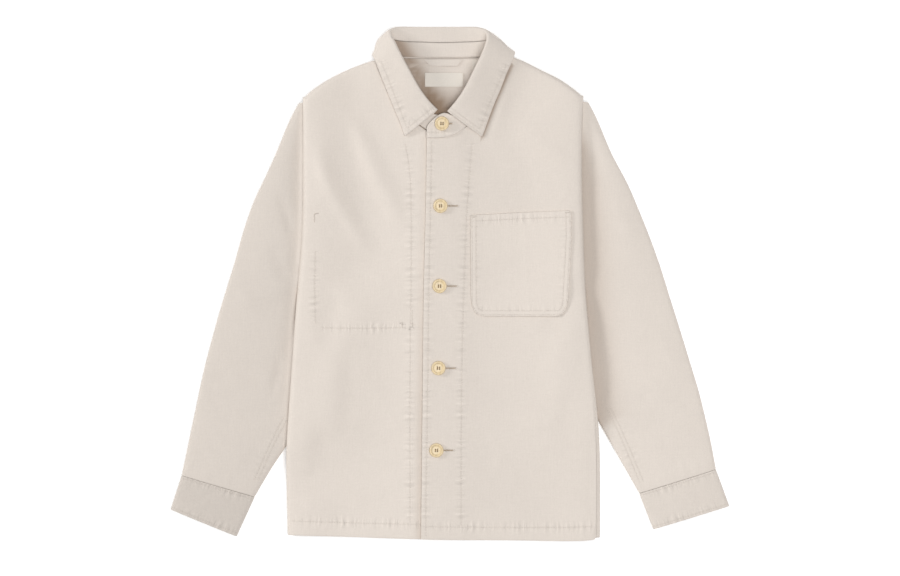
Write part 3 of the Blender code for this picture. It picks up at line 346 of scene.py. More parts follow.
def bowed(x0, y0, x1, y1, bow, steps=8):
    """Points from one end to the other, the middle moved to the left of the way."""
    start, end, _, left = straight_way(x0, y0, x1, y1)
    shares = np.linspace(0, 1, steps)
    return np.array([start + (end - start) * t + left * bow * 4 * t * (1 - t) for t in shares])


def curve(points, step):
    """A smooth curve through the points, in steps of about this length."""
    points = np.array(points, float)
    padded = np.vstack((2 * points[0] - points[1], points, 2 * points[-1] - points[-2]))
    found = []
    for i in range(1, len(padded) - 2):
        before, here, there, after = padded[i - 1:i + 3]
        count = max(2, int(np.linalg.norm(there - here) / step))
        for t in np.arange(count) / count:
            found.append(0.5 * (2 * here + (there - before) * t
                                + (2 * before - 5 * here + 4 * there - after) * t ** 2
                                + (3 * here - before - 3 * there + after) * t ** 3))
    found.append(points[-1])
    return np.array(found)


def inset(path, distance):
    """The path moved to its left, its corners mitred."""
    path = np.array(path, float)
    ways = np.diff(path, axis=0)
    ways /= np.linalg.norm(ways, axis=1, keepdims=True)
    lefts = np.stack((-ways[:, 1], ways[:, 0]), axis=1)
    moved = [path[0] + lefts[0] * distance]
    for i in range(1, len(path) - 1):
        both = lefts[i - 1] + lefts[i]
        moved.append(path[i] + both * distance * 2 / (both @ both))
    moved.append(path[-1] + lefts[-1] * distance)
    return np.array(moved)


def from_path(points, path):
    """Signed distance from a path, share of the way along it, and distance past its ends."""
    best = np.full(len(points), np.inf)
    signed, share, past = np.zeros(len(points)), np.zeros(len(points)), np.zeros(len(points))
    lengths = np.linalg.norm(np.diff(path, axis=0), axis=1)
    before = np.concatenate(((0,), np.cumsum(lengths)))
    for i, length in enumerate(lengths):
        way = (path[i + 1] - path[i]) / length
        rel = points - path[i]
        along = rel @ way
        off = rel[:, 1] * way[0] - rel[:, 0] * way[1]
        over = np.maximum(np.maximum(-along, along - length), 0)
        distance = np.hypot(off, over)
        closer = distance < best
        best[closer] = distance[closer]
        signed[closer] = np.copysign(distance, off)[closer]
        share[closer] = ((before[i] + np.clip(along, 0, length)) / before[-1])[closer]
        at_end = (i == 0) & (along < 0) | (i == len(lengths) - 1) & (along > length)
        past[closer] = np.where(at_end, over, 0)[closer]
    return signed, share, past


# ---- cloth from a solid ----

def apply_modifiers(obj):
    """Put the mesh that an object's modifiers make in their place, and return it."""
    bpy.context.view_layer.update()
    seen = obj.evaluated_get(bpy.context.evaluated_depsgraph_get())
    made = bpy.data.meshes.new_from_object(seen)
    obj.modifiers.clear()
    obj.data = made
    return made


def smooth_copy(node, levels):
    """A smooth, finely divided copy of a node's wall, its rims turned as cloth is."""
    shape = bmesh.new()
    shape.from_mesh(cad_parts[node].data)
    bmesh.ops.remove_doubles(shape, verts=shape.verts, dist=WELD)
    bmesh.ops.join_triangles(
        shape, faces=shape.faces, angle_face_threshold=FACE_ANGLE,
        angle_shape_threshold=CORNER_ANGLE, cmp_seam=False, cmp_sharp=False,
        cmp_uvs=False, cmp_vcols=False, cmp_materials=False)
    rims = shape.edges.layers.float.new("crease_edge")
    for edge in shape.edges:
        if edge.calc_face_angle(0) > RIM_ANGLE:
            edge[rims] = RIM_CREASE
    coarse = bpy.data.meshes.new(node + "_coarse")
    shape.to_mesh(coarse)
    shape.free()
    obj = bpy.data.objects.new("dressed_" + node, coarse)
    bpy.context.scene.collection.objects.link(obj)
    divide = obj.modifiers.new("divide", "SUBSURF")
    divide.levels = divide.render_levels = levels
    fine = apply_modifiers(obj)
    fine.materials.clear()
    fine.shade_smooth()
    return obj


def places(obj):
    """The piece's vertices in millimetres."""
    found = np.empty(len(obj.data.vertices) * 3)
    obj.data.vertices.foreach_get("co", found)
    return found.reshape(-1, 3) / MM


def put_places(obj, points):
    obj.data.vertices.foreach_set("co", (points * MM).ravel())
    obj.data.update()


def put_values(obj, name, values):
    layer = obj.data.attributes.new(name, "FLOAT", "POINT")
    layer.data.foreach_set("value", np.asarray(values, np.float32))


def height_of(*objects):
    """A function giving the height, in millimetres, of the topmost of these objects."""
    trees = []
    for obj in objects:
        faces = [tuple(face.vertices) for face in obj.data.polygons]
        trees.append(BVHTree.FromPolygons([v.co for v in obj.data.vertices], faces))

    def height(x, y):
        start = Vector((x * MM, y * MM, RAY_START))
        found = [tree.ray_cast(start, Vector((0, 0, -1)))[0] for tree in trees]
        return max([hit.z / MM for hit in found if hit], default=None)

    return height


# ---- creases ----

def edge_distance(points):
    """How far in from the body's nearer edge each point lies, less than 0 outside it."""
    edges = np.array(BODY_EDGES, float)
    left = np.interp(points[:, 1], edges[:, 0], edges[:, 1])
    right = np.interp(points[:, 1], edges[:, 0], edges[:, 2])
    return np.minimum(points[:, 0] - left, right - points[:, 0])


def body_weight(points):
    """1 over the middle of the fronts, 0 along their seams and under the collar."""
    line = np.array(SHOULDER_LINE, float)
    below = np.interp(points[:, 0], line[:, 0], line[:, 1]) - points[:, 1]
    away = np.hypot((points[:, 0] - NECK_MIDDLE[0]) / NECK_REACH[0],
                    (points[:, 1] - NECK_MIDDLE[1]) / NECK_REACH[1])
    return (smooth((edge_distance(points) - EDGE_REST) / EDGE_FADE)
            * smooth((below - EDGE_REST) / EDGE_FADE) * smooth((away - 1) / NECK_FADE))


def crease_heights(points, creases):
    total = np.zeros(len(points))
    for x0, y0, x1, y1, bow, half_width, height in creases:
        signed, share, _ = from_path(points, bowed(x0, y0, x1, y1, bow))
        wide = np.where(signed > 0, half_width, STEEP_SIDE * half_width)
        ends = smooth(share / CREASE_ENDS) * smooth((1 - share) / CREASE_ENDS)
        total += height * ends * np.exp(-(signed / wide) ** 2)
    return total


def puckers(rows):
    """Short creases across each row, unevenly spaced and unevenly long."""
    creases = []
    for x0, y0, x1, y1, reach, count, half_width, height in rows:
        start, end, way, across = straight_way(x0, y0, x1, y1)
        for number in range(count):
            uneven = 0.34 * math.sin(2.4 * number + x0) + 0.2 * math.sin(5.1 * number)
            middle = start + (end - start) * (number + 0.5 + uneven) / count
            long = reach * (1 + 0.4 * math.sin(3.7 * number + y0))
            lean = 0.16 * math.sin(1.9 * number + 1) * way
            first, last = middle - long * (across + lean), middle + long * (across + lean)
            high = height * (0.75 + 0.45 * math.sin(4.3 * number + 0.7))
            creases.append((*first, *last, 0.5, half_width, high))
    return creases


def swell_heights(points):
    total = np.zeros(len(points))
    for height, length, phase in SWELLS:
        x, y = points[:, 0] * math.tau / length, points[:, 1] * math.tau / length
        total += height * (0.5 + 0.25 * (np.sin(x + 0.6 * y + phase) + np.sin(1.3 * y - 0.5 * x)))
    return total


def front_field(points):
    """How far creases move the fronts, and whatever lies on them, at these places."""
    creases = FRONT_CREASES + tuple(puckers(FRONT_PUCKERS))
    field = crease_heights(points, creases) + swell_heights(points)
    return np.maximum(field, DEEPEST) * body_weight(points)


def sleeve_field(points, node):
    """How far creases move a sleeve's upper layer."""
    outside = -edge_distance(points)
    creases = SLEEVE_CREASES + tuple(puckers(SLEEVE_PUCKERS))
    corners = np.array(CUFF_CORNERS[node.replace("sleeve", "cuff")][:2])
    to_cuff = np.abs(from_path(points, corners)[0])
    free = smooth(outside / SLEEVE_FADE) * smooth(to_cuff / CUFF_FADE)
    free *= smooth((SLEEVE_TOP - points[:, 1]) / SLEEVE_TOP_FADE)
    field = (crease_heights(points, creases) + swell_heights(points)) * free
    depth, reach = VALLEYS[node]
    near = np.clip(outside, 0, None) / reach
    run = between(points[:, 1], VALLEY_ENDS, VALLEY_FADE)
    return field - depth * near * np.exp(1 - near) * run * (outside < VALLEY_REACH)


def close_slit(points, node):
    """How far sideways a sleeve's points move towards the body at the armhole's foot."""
    outside = -edge_distance(points)
    run = between(points[:, 1], SLIT_ENDS, SLIT_FADE)
    move = SLIT * run * smooth((SLIT_REACH - outside) / SLIT_REACH)
    return move if node == "sleeve_right" else -move


def overlap_neck(points):
    """1 where the stand's front tab ends over the front, and 0 away from there."""
    near = smooth((TAB_TOP - points[:, 1]) / TAB_FADE)
    near *= smooth((points[:, 2] - TAB_UNDER) / TAB_LAYER_FADE)
    return near * (np.abs(points[:, 0] - TAB_MIDDLE) < TAB_HALF)


def crease(obj, node):
    """Move a piece's points by the creases that run over it."""
    points = places(obj)
    if node in ON_FRONTS:
        points[:, 2] += front_field(points[:, :2])
    elif node in SLEEVES:
        upper = smooth((points[:, 2] - UPPER_FROM) / UPPER_FADE)
        points[:, 2] += upper * sleeve_field(points[:, :2], node)
        points[:, 0] += close_slit(points, node)
    elif node == "collar_stand":
        near = overlap_neck(points)
        points[:, 1] -= TAB_DOWN * near
        points[:, 2] += TAB_UP * near
    elif node in CUFFS:
        upper = smooth((points[:, 2] - UPPER_FROM) / UPPER_FADE)
        seam = np.array(CUFF_CORNERS[node][:2])
        free = smooth(np.abs(from_path(points[:, :2], seam)[0]) / CUFF_SEAM_FADE)
        waves = swell_heights(points[:, :2] * CUFF_SWELL) - CUFF_SINK
        points[:, 2] += upper * free * waves
    put_places(obj, points)


def settle(obj, carrier):
    """Lay a piece on its carrier again where smoothing has moved the carrier's face."""
    was = height_of(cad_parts[carrier])
    now = height_of(dressed[carrier])
    points = places(obj)
    for point in points:
        before, after = was(point[0], point[1]), now(point[0], point[1])
        if before is not None and after is not None:
            point[2] += after - before
    put_places(obj, points)


# ---- stitch lines ----

def cuff_lines(node):
    seam_out, seam_in, edge_out, edge_in = np.array(CUFF_CORNERS[node], float)
    lines = []
    for share in CUFF_SHARES:
        first = seam_out + (edge_out - seam_out) * share
        last = seam_in + (edge_in - seam_in) * share
        lines.append((first + (last - first) * 0.01, last + (first - last) * 0.01))
    return lines


def lines_on(node):
    """The stitch lines of a piece, as paths in millimetres."""
    if node in PANEL_LINES:
        return [curve(line, LINE_STEP) for line in PANEL_LINES[node]]
    if node in CUFFS:
        return [curve(line, LINE_STEP) for line in cuff_lines(node)]
    if node == "chest_pocket":
        rows = [inset(POCKET_EDGE, distance) for distance in POCKET_INSETS]
        return rows + [curve(POCKET_HEM, LINE_STEP)]
    if node == "collar":
        left, right = (np.array(leaf) for leaf in LEAVES)
        return [inset(left, LEAF_INSET), inset(right, LEAF_INSET),
                inset(right[:2], LEAF_SECOND)]
    if node == "collar_stand":
        return [curve(STAND_LINE, STAND_STEP)]
    return []


def mark_lines(obj, lines):
    """Store where a piece's points lie beside its stitch lines: each line's distance, which is
    FAR where it is out of reach; how far along the nearest line; and 1 beside a line, else 0.
    Puckers have their own such mark, which is 0 where two lines are equally near."""
    flat = places(obj)[:, :2]
    nearest, second = np.full(len(flat), FAR), np.full(len(flat), FAR)
    along = np.zeros(len(flat))
    for number in range(LINES):
        values = np.full(len(flat), FAR)
        if number < len(lines):
            line = np.asarray(lines[number])
            signed, share, past = from_path(flat, line)
            out = (np.abs(signed) > LINE_REACH) | (past > 0)
            values = np.where(out, np.copysign(FAR, signed), signed)
            away = np.abs(signed) + 3 * past
            run = share * np.linalg.norm(np.diff(line, axis=0), axis=1).sum()
            along = np.where(away < nearest, run, along)
            second = np.minimum(second, np.maximum(nearest, away))
            nearest = np.minimum(nearest, away)
        put_values(obj, f"line_{number}", values)
    put_values(obj, "along", along)
    sewn = 1 - smooth((nearest - SEWN_REACH) / SEWN_FADE)
    put_values(obj, "sewn", sewn)
    put_values(obj, "puckered", sewn * smooth((second - nearest - LINES_APART) / SEWN_FADE))


def add_rings(faces, first, rings, sides):
    """Add the faces between rings of points, from the first point on, with a cap at each end."""
    for ring in range(rings - 1):
        low, high = first + ring * sides, first + (ring + 1) * sides
        for step in range(sides):
            after = (step + 1) % sides
            faces.append((low + step, low + after, high + after, high + step))
    faces.append(tuple(first + step for step in reversed(range(sides))))
    faces.append(tuple(first + (rings - 1) * sides + step for step in range(sides)))


def add_ring(vertices, x, y, z, radius, sides):
    """Add a level ring of points."""
    for step in range(sides):
        turn = math.tau * step / sides
        vertices.append((x + radius * math.cos(turn), y + radius * math.sin(turn), z))


def add_tube(vertices, faces, line, radii, sides=5, flat=1.0):
    """Add a closed tube along a line, flattened by this factor, to the lists."""
    line = np.array(line, float)
    ways = np.gradient(line, axis=0)
    first = len(vertices)
    for place, way, radius in zip(line, ways, radii):
        way = way / np.linalg.norm(way)
        side = np.cross(way, (0, 0, 1))
        side /= np.linalg.norm(side)
        rise = np.cross(side, way)
        for step in range(sides):
            turn = math.tau * step / sides
            vertices.append(place + radius * (math.cos(turn) * side + flat * math.sin(turn) * rise))
    add_rings(faces, first, len(line), sides)


def add_stitch(vertices, faces, start, end, height, radius=THREAD):
    """One stitch between two places on the cloth: its ends go in, its middle stands proud."""
    rises = (-STITCH_SINK, STITCH_RISE, STITCH_RISE, -STITCH_SINK)
    line = []
    for share, rise in zip(STITCH_SHARES, rises):
        x, y = np.array(start) + (np.array(end) - np.array(start)) * share
        ground = height(x, y)
        if ground is None:
            return
        line.append((x, y, ground + rise))
    if max(p[2] for p in line) - min(p[2] for p in line) > STITCH_STEP:
        return
    add_tube(vertices, faces, line, radius * np.array(STITCH_RADII))


def sew(vertices, faces, path, height):
    """A row of stitches along a path."""
    straight = len(path) == 2
    fine = bowed(*path[0], *path[1], 0, STRAIGHT_POINTS) if straight else curve(path, SEWN_STEP)
    run = np.concatenate(((0,), np.cumsum(np.linalg.norm(np.diff(fine, axis=0), axis=1))))
    for start in np.arange(FIRST_STITCH, run[-1] - STITCH_LENGTH, STITCH_PITCH):
        ends = [[np.interp(at, run, fine[:, axis]) for axis in (0, 1)]
                for at in (start, start + STITCH_LENGTH)]
        add_stitch(vertices, faces, *ends, height)


def corner_path(path):
    """The path with its corners cut, so that a smooth curve keeps to it."""
    kept = [path[0]]
    for before, here, after in zip(path[:-2], path[1:-1], path[2:]):
        for other in (before, after):
            away = other - here
            reach = min(CORNER_RADIUS, np.linalg.norm(away) / 3)
            kept.append(here + away / np.linalg.norm(away) * reach)
    kept.append(path[-1])
    dense = [kept[0]]
    for first, last in zip(kept[:-1], kept[1:]):
        count = max(1, int(np.linalg.norm(last - first) / 6))
        dense += [first + (last - first) * (i + 1) / count for i in range(count)]
    return np.array(dense)


def add_tacks(vertices, faces, tacks, height):
    """Bar tacks: close stitches across short bars."""
    for x0, y0, x1, y1 in tacks:
        start, end = np.array((x0, y0), float), np.array((x1, y1), float)
        length = np.linalg.norm(end - start)
        across = np.array((start[1] - end[1], end[0] - start[0])) / length * TACK_HALF
        for at in np.arange(0, length, TACK_PITCH):
            middle = start + (end - start) * at / length
            add_stitch(vertices, faces, middle - across, middle + across, height)


def make_mesh(name, vertices, faces, material):
    mesh = bpy.data.meshes.new(name)
    mesh.from_pydata([tuple(float(c) * MM for c in vertex) for vertex in vertices], [], faces)
    mesh.materials.append(material)
    mesh.shade_smooth()
    obj = bpy.data.objects.new(name, mesh)
    bpy.context.scene.collection.objects.link(obj)
    return obj


def make_threads(node, obj, lines, material):
    """All the threads on one piece, as one object, or None where it has no line."""
    vertices, faces = [], []
    height = height_of(obj)
    for line in lines:
        sew(vertices, faces, corner_path(np.asarray(line)), height)
    add_tacks(vertices, faces, TACKS.get(node, ()), height)
    if not faces:
        return None
    threads = make_mesh("threads_" + node, vertices, faces, material)
    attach(threads, "root")
    return threads


# ---- buttons and buttonholes ----

def make_button(number, x, y, lifted, material):
    """A turned button with a round rim, a dished face and four holes."""
    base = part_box(f"button_{number}")[0][2] / MM + lifted
    profile = curve(BUTTON_PROFILE, BUTTON_STEP)
    vertices, faces = [], []
    for radius, z in profile:
        add_ring(vertices, x, y, base + z, radius, BUTTON_SIDES)
    add_rings(faces, 0, len(profile), BUTTON_SIDES)
    button = make_mesh(f"dressed_button_{number}", vertices, faces, material)
    drills = []
    for across in (-1, 1):
        for up in (-1, 1):
            drills.append(drill_hole(button, (x + across * BUTTON_HOLE_OUT,
                                              y + up * BUTTON_HOLE_OUT, base)))
    drilled = apply_modifiers(button)
    for drill in drills:
        bpy.data.objects.remove(drill)
    drilled.shade_smooth()
    drilled.set_sharp_from_angle(angle=BUTTON_SHARP)
    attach(button, "root")
    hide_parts(f"button_{number}")
    return base


def drill_hole(button, place):
    """Set a hole in a button, cut by a drill that is returned to be removed later."""
    vertices, faces = [], []
    x, y, base = place
    for z in (base - DRILL_BELOW, base + DRILL_ABOVE):
        add_ring(vertices, x, y, z, BUTTON_HOLE, DRILL_SIDES)
    add_rings(faces, 0, 2, DRILL_SIDES)
    drill = make_mesh("drill", vertices, faces, button.data.materials[0])
    cut = button.modifiers.new("hole", "BOOLEAN")
    cut.operation = "DIFFERENCE"
    cut.solver = "EXACT"
    cut.object = drill
    return drill


def sew_button(vertices, faces, x, y, base):
    """Two bars of thread over the button's middle, up and down between its holes."""
    face = base + BUTTON_PROFILE[-1][1]
    out = BUTTON_HOLE_OUT
    for across in (-out, out):
        for strand, lean in STRANDS:
            line = []
            for share in STRAND_SHARES:
                drop = STRAND_DROP if abs(share) == 1 else 0
                arch = STRAND_ARCH * (1 - share * share) + STRAND_LIFT
                line.append((x + across + strand + lean * share, y + share * out,
                             face + arch - drop))
            add_tube(vertices, faces, line, [THREAD * 0.9] * len(line), sides=6)


def add_buttonhole(vertices, faces, slit, x, y, end, height):
    """A slit with close stitches on both sides, and a bar of them at its far end."""
    for side in (-1, 1):
        for at in np.arange(x + HOLE_START, x + end, HOLE_PITCH):
            wobble = 0.08 * math.sin(7 * at)
            add_stitch(vertices, faces, (at, y + side * (HOLE_RAIL - HOLE_IN)),
                       (at + wobble, y + side * (HOLE_RAIL + HOLE_OUT)), height, HOLE_THREAD)
    for at in HOLE_BAR:
        add_stitch(vertices, faces, (x + end + at, y - HOLE_RAIL - HOLE_BAR_OUT),
                   (x + end + at, y + HOLE_RAIL + HOLE_BAR_OUT), height, HOLE_THREAD)
    line = []
    for at in np.linspace(x + HOLE_START, x + end, GAP_POINTS):
        ground = height(at, y)
        if ground is None:
            return
        line.append((at, y, ground + GAP_LIFT))
    radii = [GAP_END_RADIUS] + [GAP_RADIUS] * (len(line) - 2) + [GAP_END_RADIUS]
    # the slit: a dark tube of painted shade
    add_tube(*slit, line, radii, sides=6, flat=GAP_FLAT)


# ---- materials ----

class Shading:
    """A material's node tree, with short ways to add to it."""

    def __init__(self, name):
        self.material = bpy.data.materials.new(name)
        self.material.use_nodes = True
        self.tree = self.material.node_tree
        self.shader = self.tree.nodes["Principled BSDF"]
        self.place = self.node("ShaderNodeTexCoord").outputs["Object"]

    def node(self, kind, **values):
        made = self.tree.nodes.new(kind)
        for key, value in values.items():
            setattr(made, key, value)
        return made

    def math(self, operation, *terms):
        made = self.node("ShaderNodeMath", operation=operation)
        for socket, term in zip(made.inputs, terms):
            if isinstance(term, (int, float)):
                socket.default_value = term
            else:
                self.tree.links.new(term, socket)
        return made.outputs[0]

    def placed(self, angle=0.0, stretch=(1, 1, 1)):
        made = self.node("ShaderNodeMapping")
        made.inputs["Rotation"].default_value = (0, 0, angle)
        made.inputs["Scale"].default_value = stretch
        self.tree.links.new(self.place, made.inputs["Vector"])
        return made.outputs[0]

    def noise(self, scale, detail, at):
        made = self.node("ShaderNodeTexNoise")
        made.inputs["Scale"].default_value = scale
        made.inputs["Detail"].default_value = detail
        self.tree.links.new(at, made.inputs["Vector"])
        return made.outputs["Fac"]

    def rucks(self, along, length):
        """Uneven stripes across a line, from the distance along it."""
        made = self.node("ShaderNodeTexNoise", noise_dimensions="1D")
        made.inputs["Scale"].default_value = 1 / length
        made.inputs["Detail"].default_value = 1
        self.tree.links.new(along, made.inputs["W"])
        return made.outputs["Fac"]

    def bands(self, scale, distortion, at):
        made = self.node("ShaderNodeTexWave", wave_type="BANDS", bands_direction="X")
        made.inputs["Scale"].default_value = scale
        made.inputs["Distortion"].default_value = distortion
        made.inputs["Detail"].default_value = 1
        made.inputs["Detail Scale"].default_value = 3
        self.tree.links.new(at, made.inputs["Vector"])
        return made.outputs["Fac"]

    def attribute(self, name):
        return self.node("ShaderNodeAttribute", attribute_name=name).outputs["Fac"]

    def bell(self, value, width):
        """1 where the value is 0, falling away on both sides within this width."""
        square = self.math("POWER", self.math("DIVIDE", value, width), 2.0)
        return self.math("EXPONENT", self.math("MULTIPLY", square, -1.0))

    def add_varied(self, total, texture, amount):
        """The total, raised and lowered by a texture that lies round one half."""
        return self.math("MULTIPLY_ADD", self.math("SUBTRACT", texture, 0.5), amount, total)

    def mixed(self, first, second, share):
        """From the first colour to the second by the share."""
        made = self.node("ShaderNodeMix", data_type="RGBA")
        made.inputs[6].default_value = (*first, 1)
        made.inputs[7].default_value = (*second, 1)
        self.tree.links.new(share, made.inputs[0])
        return made.outputs[2]

    def colour(self, colour, shade):
        """Give the shader this colour, or what a socket gives, scaled by the shade."""
        made = self.node("ShaderNodeVectorMath", operation="SCALE")
        if isinstance(colour, tuple):
            made.inputs[0].default_value = colour
        else:
            self.tree.links.new(colour, made.inputs[0])
        self.tree.links.new(shade, made.inputs["Scale"])
        self.tree.links.new(made.outputs[0], self.shader.inputs["Base Color"])

    def finish(self, values):
        """Set the shader's own sockets."""
        for name, value in values.items():
            self.shader.inputs[name].default_value = value

    def bump(self, height, distance):
        made = self.node("ShaderNodeBump")
        made.inputs["Distance"].default_value = distance
        made.inputs["Strength"].default_value = 1.0
        self.tree.links.new(height, made.inputs["Height"])
        self.tree.links.new(made.outputs[0], self.shader.inputs["Normal"])


def denim(name, angle, painted_tone=1.0):
    """Undyed cotton twill: slubby yarns, a fine diagonal rib, grooved and puckered at its lines.
    Painted shade darkens the grooves and the places where a piece stores it, and the puckers carry
    painted shade in their troughs and painted light on their ridges.
    """
    made = Shading(name)
    turned = made.placed(angle)
    cloud = made.noise(11, 3, turned)
    grain = made.noise(430, 2, turned)
    warp = made.noise(60, 3, made.placed(angle, (22, 1, 1)))
    weft = made.noise(60, 3, made.placed(angle, (1, 22, 1)))
    twill = made.bands(300, 1.2, made.placed(angle + TWILL_ANGLE))
    waver = made.math("MULTIPLY", made.noise(90, 1, turned), 5.0)
    ruck = made.rucks(made.math("ADD", made.attribute("along"), waver), PUCKER_LENGTH)
    groove, near = None, None
    for number in range(LINES):
        line = made.attribute(f"line_{number}")
        narrow, wide = made.bell(line, GROOVE_WIDTH), made.bell(line, PUCKER_WIDTH)
        groove = narrow if groove is None else made.math("MAXIMUM", groove, narrow)
        near = wide if near is None else made.math("MAXIMUM", near, wide)
    groove = made.math("MULTIPLY", groove, made.attribute("sewn"))
    rucked = made.math("MULTIPLY", made.math("SUBTRACT", ruck, 0.5), near)
    rucked = made.math("MULTIPLY", rucked, made.attribute("puckered"))
    # the piece's tone: painted shade where below 1, painted light where above 1
    shade = made.math("MULTIPLY_ADD", cloud, 0.05 * painted_tone, 0.975 * painted_tone)
    shade = made.add_varied(shade, warp, 0.10)
    shade = made.add_varied(shade, weft, 0.07)
    shade = made.add_varied(shade, grain, 0.09)
    shade = made.add_varied(shade, twill, 0.05)
    # painted shade in the stitch lines' grooves
    shade = made.math("MULTIPLY", shade, made.math("MULTIPLY_ADD", groove, -0.05, 1.0))
    # painted shade in the puckers' troughs, painted light on their ridges
    shade = made.math("MULTIPLY", shade, made.math("MULTIPLY_ADD", rucked, 0.28, 1.0))
    # painted shade: the colour moves towards the deeper one by the piece's stored share of painted
    # shade
    made.colour(made.mixed(DENIM, PAINTED_SHADE_COLOUR, made.attribute("painted_shade")), shade)
    height = made.math("MULTIPLY_ADD", twill, 0.5, made.math("MULTIPLY", grain, 0.8))
    height = made.math("MULTIPLY_ADD", warp, 0.5, height)
    height = made.math("MULTIPLY_ADD", groove, -1.0, height)
    height = made.math("MULTIPLY_ADD", rucked, 8.0, height)
    made.bump(height, 0.0002)
    made.finish({"Roughness": 0.92, "Specular IOR Level": 0.2, "Sheen Weight": 0.10,
                 "Sheen Roughness": 0.5})
    return made.material


def tape():
    """A smooth, closely woven cotton tape."""
    made = Shading("woven_tape")
    across = made.bands(520, 0.6, made.placed(0))
    along = made.bands(520, 0.6, made.placed(math.radians(90)))
    weave = made.math("MULTIPLY", across, along)
    grain = made.noise(300, 2, made.placed(0))
    shade = made.math("MULTIPLY_ADD", weave, 0.10, 0.90)
    shade = made.add_varied(shade, grain, 0.06)
    made.colour(TAPE, shade)
    made.bump(weave, 0.00012)
    made.finish({"Roughness": 0.7, "Sheen Weight": 0.15})
    return made.material


def thread(name, colour):
    """Matt spun cotton."""
    made = Shading(name)
    twist = made.bands(900, 0.5, made.placed(math.radians(35)))
    fuzz = made.noise(900, 1, made.placed(0))
    shade = made.math("MULTIPLY_ADD", twist, 0.16, 0.84)
    shade = made.add_varied(shade, fuzz, 0.12)
    made.colour(colour, shade)
    made.bump(twist, 0.00008)
    made.finish({"Roughness": 0.8, "Sheen Weight": 0.2})
    return made.material


def straw():
    """Polished straw-coloured button stock with long pale streaks."""
    made = Shading("straw_button")
    streaks = made.bands(55, 5.0, made.placed(math.radians(24), (1, 0.35, 1)))
    cloud = made.noise(130, 3, made.placed(0))
    fine = made.noise(700, 1, made.placed(0, (3, 0.6, 1)))
    shade = made.math("MULTIPLY_ADD", streaks, 0.14, 0.88)
    shade = made.add_varied(shade, cloud, 0.16)
    shade = made.add_varied(shade, fine, 0.06)
    made.colour(STRAW, shade)
    made.bump(fine, 0.00002)
    made.finish({"Roughness": 0.34, "Coat Weight": 0.25, "Coat Roughness": 0.2})
    return made.material


def dark_gap():
    """The shade between the two lips of a buttonhole."""
    made = Shading("buttonhole_gap")
    fuzz = made.noise(800, 2, made.placed(0))
    made.colour(GAP, made.math("MULTIPLY_ADD", fuzz, 0.8, 0.6))
    made.bump(fuzz, 0.0001)
    made.finish({"Roughness": 1.0, "Specular IOR Level": 0.0})
    return made.material


# ---- the picture's camera, lights and surface ----

def set_camera():
    camera = bpy.data.objects.new("camera", bpy.data.cameras.new("camera"))
    bpy.context.scene.collection.objects.link(camera)
    bpy.context.scene.camera = camera
    width = PICTURE[0] * SCALE * MM
    camera.data.sensor_width = CAMERA_SENSOR
    camera.data.lens = CAMERA_SENSOR * CAMERA_HEIGHT / width
    camera.data.clip_end = CAMERA_END
    middle_x = (PICTURE[0] / 2 - ORIGIN_PIXEL[0]) * SCALE * MM
    middle_y = (ORIGIN_PIXEL[1] - PICTURE[1] / 2) * SCALE * MM
    camera.location = (middle_x, middle_y, CAMERA_HEIGHT)


def add_light(name, place, size, power):
    light = bpy.data.lights.new(name, "AREA")
    light.shape = "DISK"
    light.size = size
    light.energy = power
    obj = bpy.data.objects.new(name, light)
    obj.location = place
    obj.rotation_euler = (-Vector(place)).to_track_quat("-Z", "Y").to_euler()
    bpy.context.scene.collection.objects.link(obj)


def set_stage():
    bpy.ops.mesh.primitive_plane_add(size=FLOOR_SIZE, location=(0, 0, FLOOR_HEIGHT))
    floor = bpy.context.object
    floor.name = "surface"
    made = Shading("pale_surface")
    made.finish({"Base Color": (FLOOR_TONE, FLOOR_TONE, FLOOR_TONE, 1), "Roughness": 0.9,
                 "Specular IOR Level": 0.1, "Emission Color": (1, 1, 1, 1),
                 "Emission Strength": FLOOR_GLOW})
    floor.data.materials.append(made.material)
    world = bpy.data.worlds.new("soft_room")
    bpy.context.scene.world = world
    world.use_nodes = True
    room = world.node_tree.nodes["Background"].inputs
    room["Color"].default_value = (1, 1, 1, 1)
    room["Strength"].default_value = ROOM_LIGHT
    bpy.context.scene.view_settings.view_transform = "Standard"
    for name, place, size, power in LIGHTS:
        add_light(name, place, size, power)


# ---- the whole ----

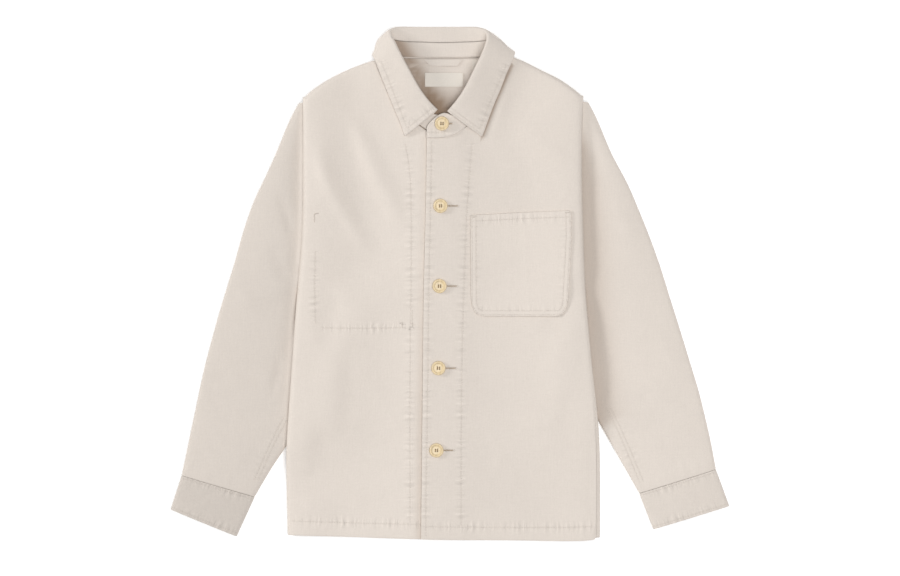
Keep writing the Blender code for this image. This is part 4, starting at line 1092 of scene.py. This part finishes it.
def mark_painted_shade(obj, node):
    """Store how much painted shade, in the deeper tone, a piece's points take: in the neck, on a
    sleeve beside the body, beside the collar's leaf and beside the closure. Only upward faces take
    any."""
    points = places(obj)
    painted_shade_share = np.zeros(len(points))
    normals = np.empty(len(points) * 3)
    obj.data.vertices.foreach_get("normal", normals)
    upward = smooth(normals[2::3] / UPWARD)
    if node in ("back", "collar_stand"):
        signed, _, _ = from_path(points[:, :2], np.array(NECK_SHADE_SIDE, float))
        painted_shade_share = NECK_SHADE_DEPTH * np.exp(-(signed / NECK_SHADE_WIDTH) ** 2)
        if node == "back":
            lower = smooth((NECK_SHADE_TOP - points[:, 1]) / NECK_SHADE_RUN)
            painted_shade_share += NECK_SHADE_LEAST + NECK_SHADE_DROP * lower
            across = np.abs(points[:, 0] - NECK_MIDDLE[0])
            painted_shade_share *= smooth((points[:, 1] - NECK_SHADE_END) / NECK_SHADE_FADE)
            painted_shade_share *= smooth((NECK_SHADE_HALF - across) / NECK_SHADE_FADE)
        else:
            painted_shade_share *= smooth((points[:, 1] - STAND_SHADE_FROM) / NECK_SHADE_FADE)
    if node == "sleeve_left":
        heights, reaches = np.array(SLEEVE_SHADE).T
        reach = np.interp(points[:, 1], heights, reaches)
        outside = np.clip(-edge_distance(points), 0, None)
        painted_shade_share = SLEEVE_SHADE_DEPTH * np.exp(-(outside / reach) ** 2)
        painted_shade_share *= smooth(reach / SLEEVE_SHADE_FADE)
    if node == "front_left":
        signed, _, past = from_path(points[:, :2], np.array(LEAF_SHADE, float))
        painted_shade_share = LEAF_SHADE_DEPTH * np.exp(-(signed / LEAF_SHADE_WIDTH) ** 2)
        painted_shade_share *= past < LEAF_SHADE_PAST
    if node == "front_right":
        signed, _, _ = from_path(points[:, :2], np.array(CLOSURE_SHADE, float))
        painted_shade_share = CLOSURE_SHADE_DEPTH * np.exp(-(signed / CLOSURE_SHADE_WIDTH) ** 2)
        lower = smooth((CLOSURE_SHADE_TOP - points[:, 1]) / CLOSURE_SHADE_RUN)
        painted_shade_share *= CLOSURE_SHADE_LEAST + (1 - CLOSURE_SHADE_LEAST) * lower
    # painted shade, kept on upward faces only
    put_values(obj, "painted_shade", np.clip(painted_shade_share, 0, 1) * upward)


def dress(node, material):
    """One cloth piece over its solid: smoothed, creased and marked with its stitch lines."""
    levels = CLOTHS[node][0]
    obj = smooth_copy(node, levels)
    dressed[node] = obj
    if node == "chest_pocket":
        settle(obj, "front_left")
    crease(obj, node)
    lines = lines_on(node)
    mark_lines(obj, lines)
    mark_painted_shade(obj, node)
    obj.data.materials.append(material)
    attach(obj, "root")
    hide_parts(node)
    return lines


def make_closure(cotton):
    """Buttons, the threads that hold them, and buttonholes."""
    horn, gap, brown = straw(), dark_gap(), thread("button_thread", BUTTON_THREAD)
    on_front, on_stand = height_of(dressed["front_left"]), height_of(dressed["collar_stand"])
    was_front = height_of(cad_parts["front_left"])
    was_stand = height_of(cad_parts["collar_stand"])
    sewn, rims, slits = ([], []), ([], []), ([], [])
    for number, ((x, y), end) in enumerate(zip(BUTTONS, HOLE_ENDS), start=1):
        now, was = (on_stand, was_stand) if number == 1 else (on_front, was_front)
        base = make_button(number, x, y, now(x, y) - was(x, y), horn)
        sew_button(*sewn, x, y, base)
        add_buttonhole(*rims, slits, x, y, end, now)
    for name, (vertices, faces), material in (("button_threads", sewn, brown),
                                              ("buttonhole_rims", rims, cotton),
                                              ("buttonhole_slits", slits, gap)):
        piece = make_mesh(name, vertices, faces, material)
        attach(piece, "root")


def main():
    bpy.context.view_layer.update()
    set_camera()
    set_stage()
    body_cloth = denim("denim", 0.0)
    cloths = {}
    for node, (name, angle) in GRAINS.items():
        cloths[node] = denim(name, math.radians(angle), PAINTED_LIGHT_AND_SHADE.get(node, 1.0))
    cloths["collar_stand"] = cloths["collar"]
    cotton, tapes = thread("cotton_thread", THREAD_COLOUR), tape()
    for node, (_, width, length, area, under) in CLOTHS.items():
        material = tapes if node in TAPES else cloths.get(node, body_cloth)
        lines = dress(node, material)
        threads = make_threads(node, dressed[node], lines, cotton)
    make_closure(cotton)


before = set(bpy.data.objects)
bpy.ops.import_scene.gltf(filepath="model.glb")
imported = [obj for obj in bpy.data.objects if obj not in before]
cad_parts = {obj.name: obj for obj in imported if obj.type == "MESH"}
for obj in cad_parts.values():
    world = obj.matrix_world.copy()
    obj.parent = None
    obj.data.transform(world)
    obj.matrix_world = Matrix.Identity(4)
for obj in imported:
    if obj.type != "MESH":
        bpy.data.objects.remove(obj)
dressed = {}
main()
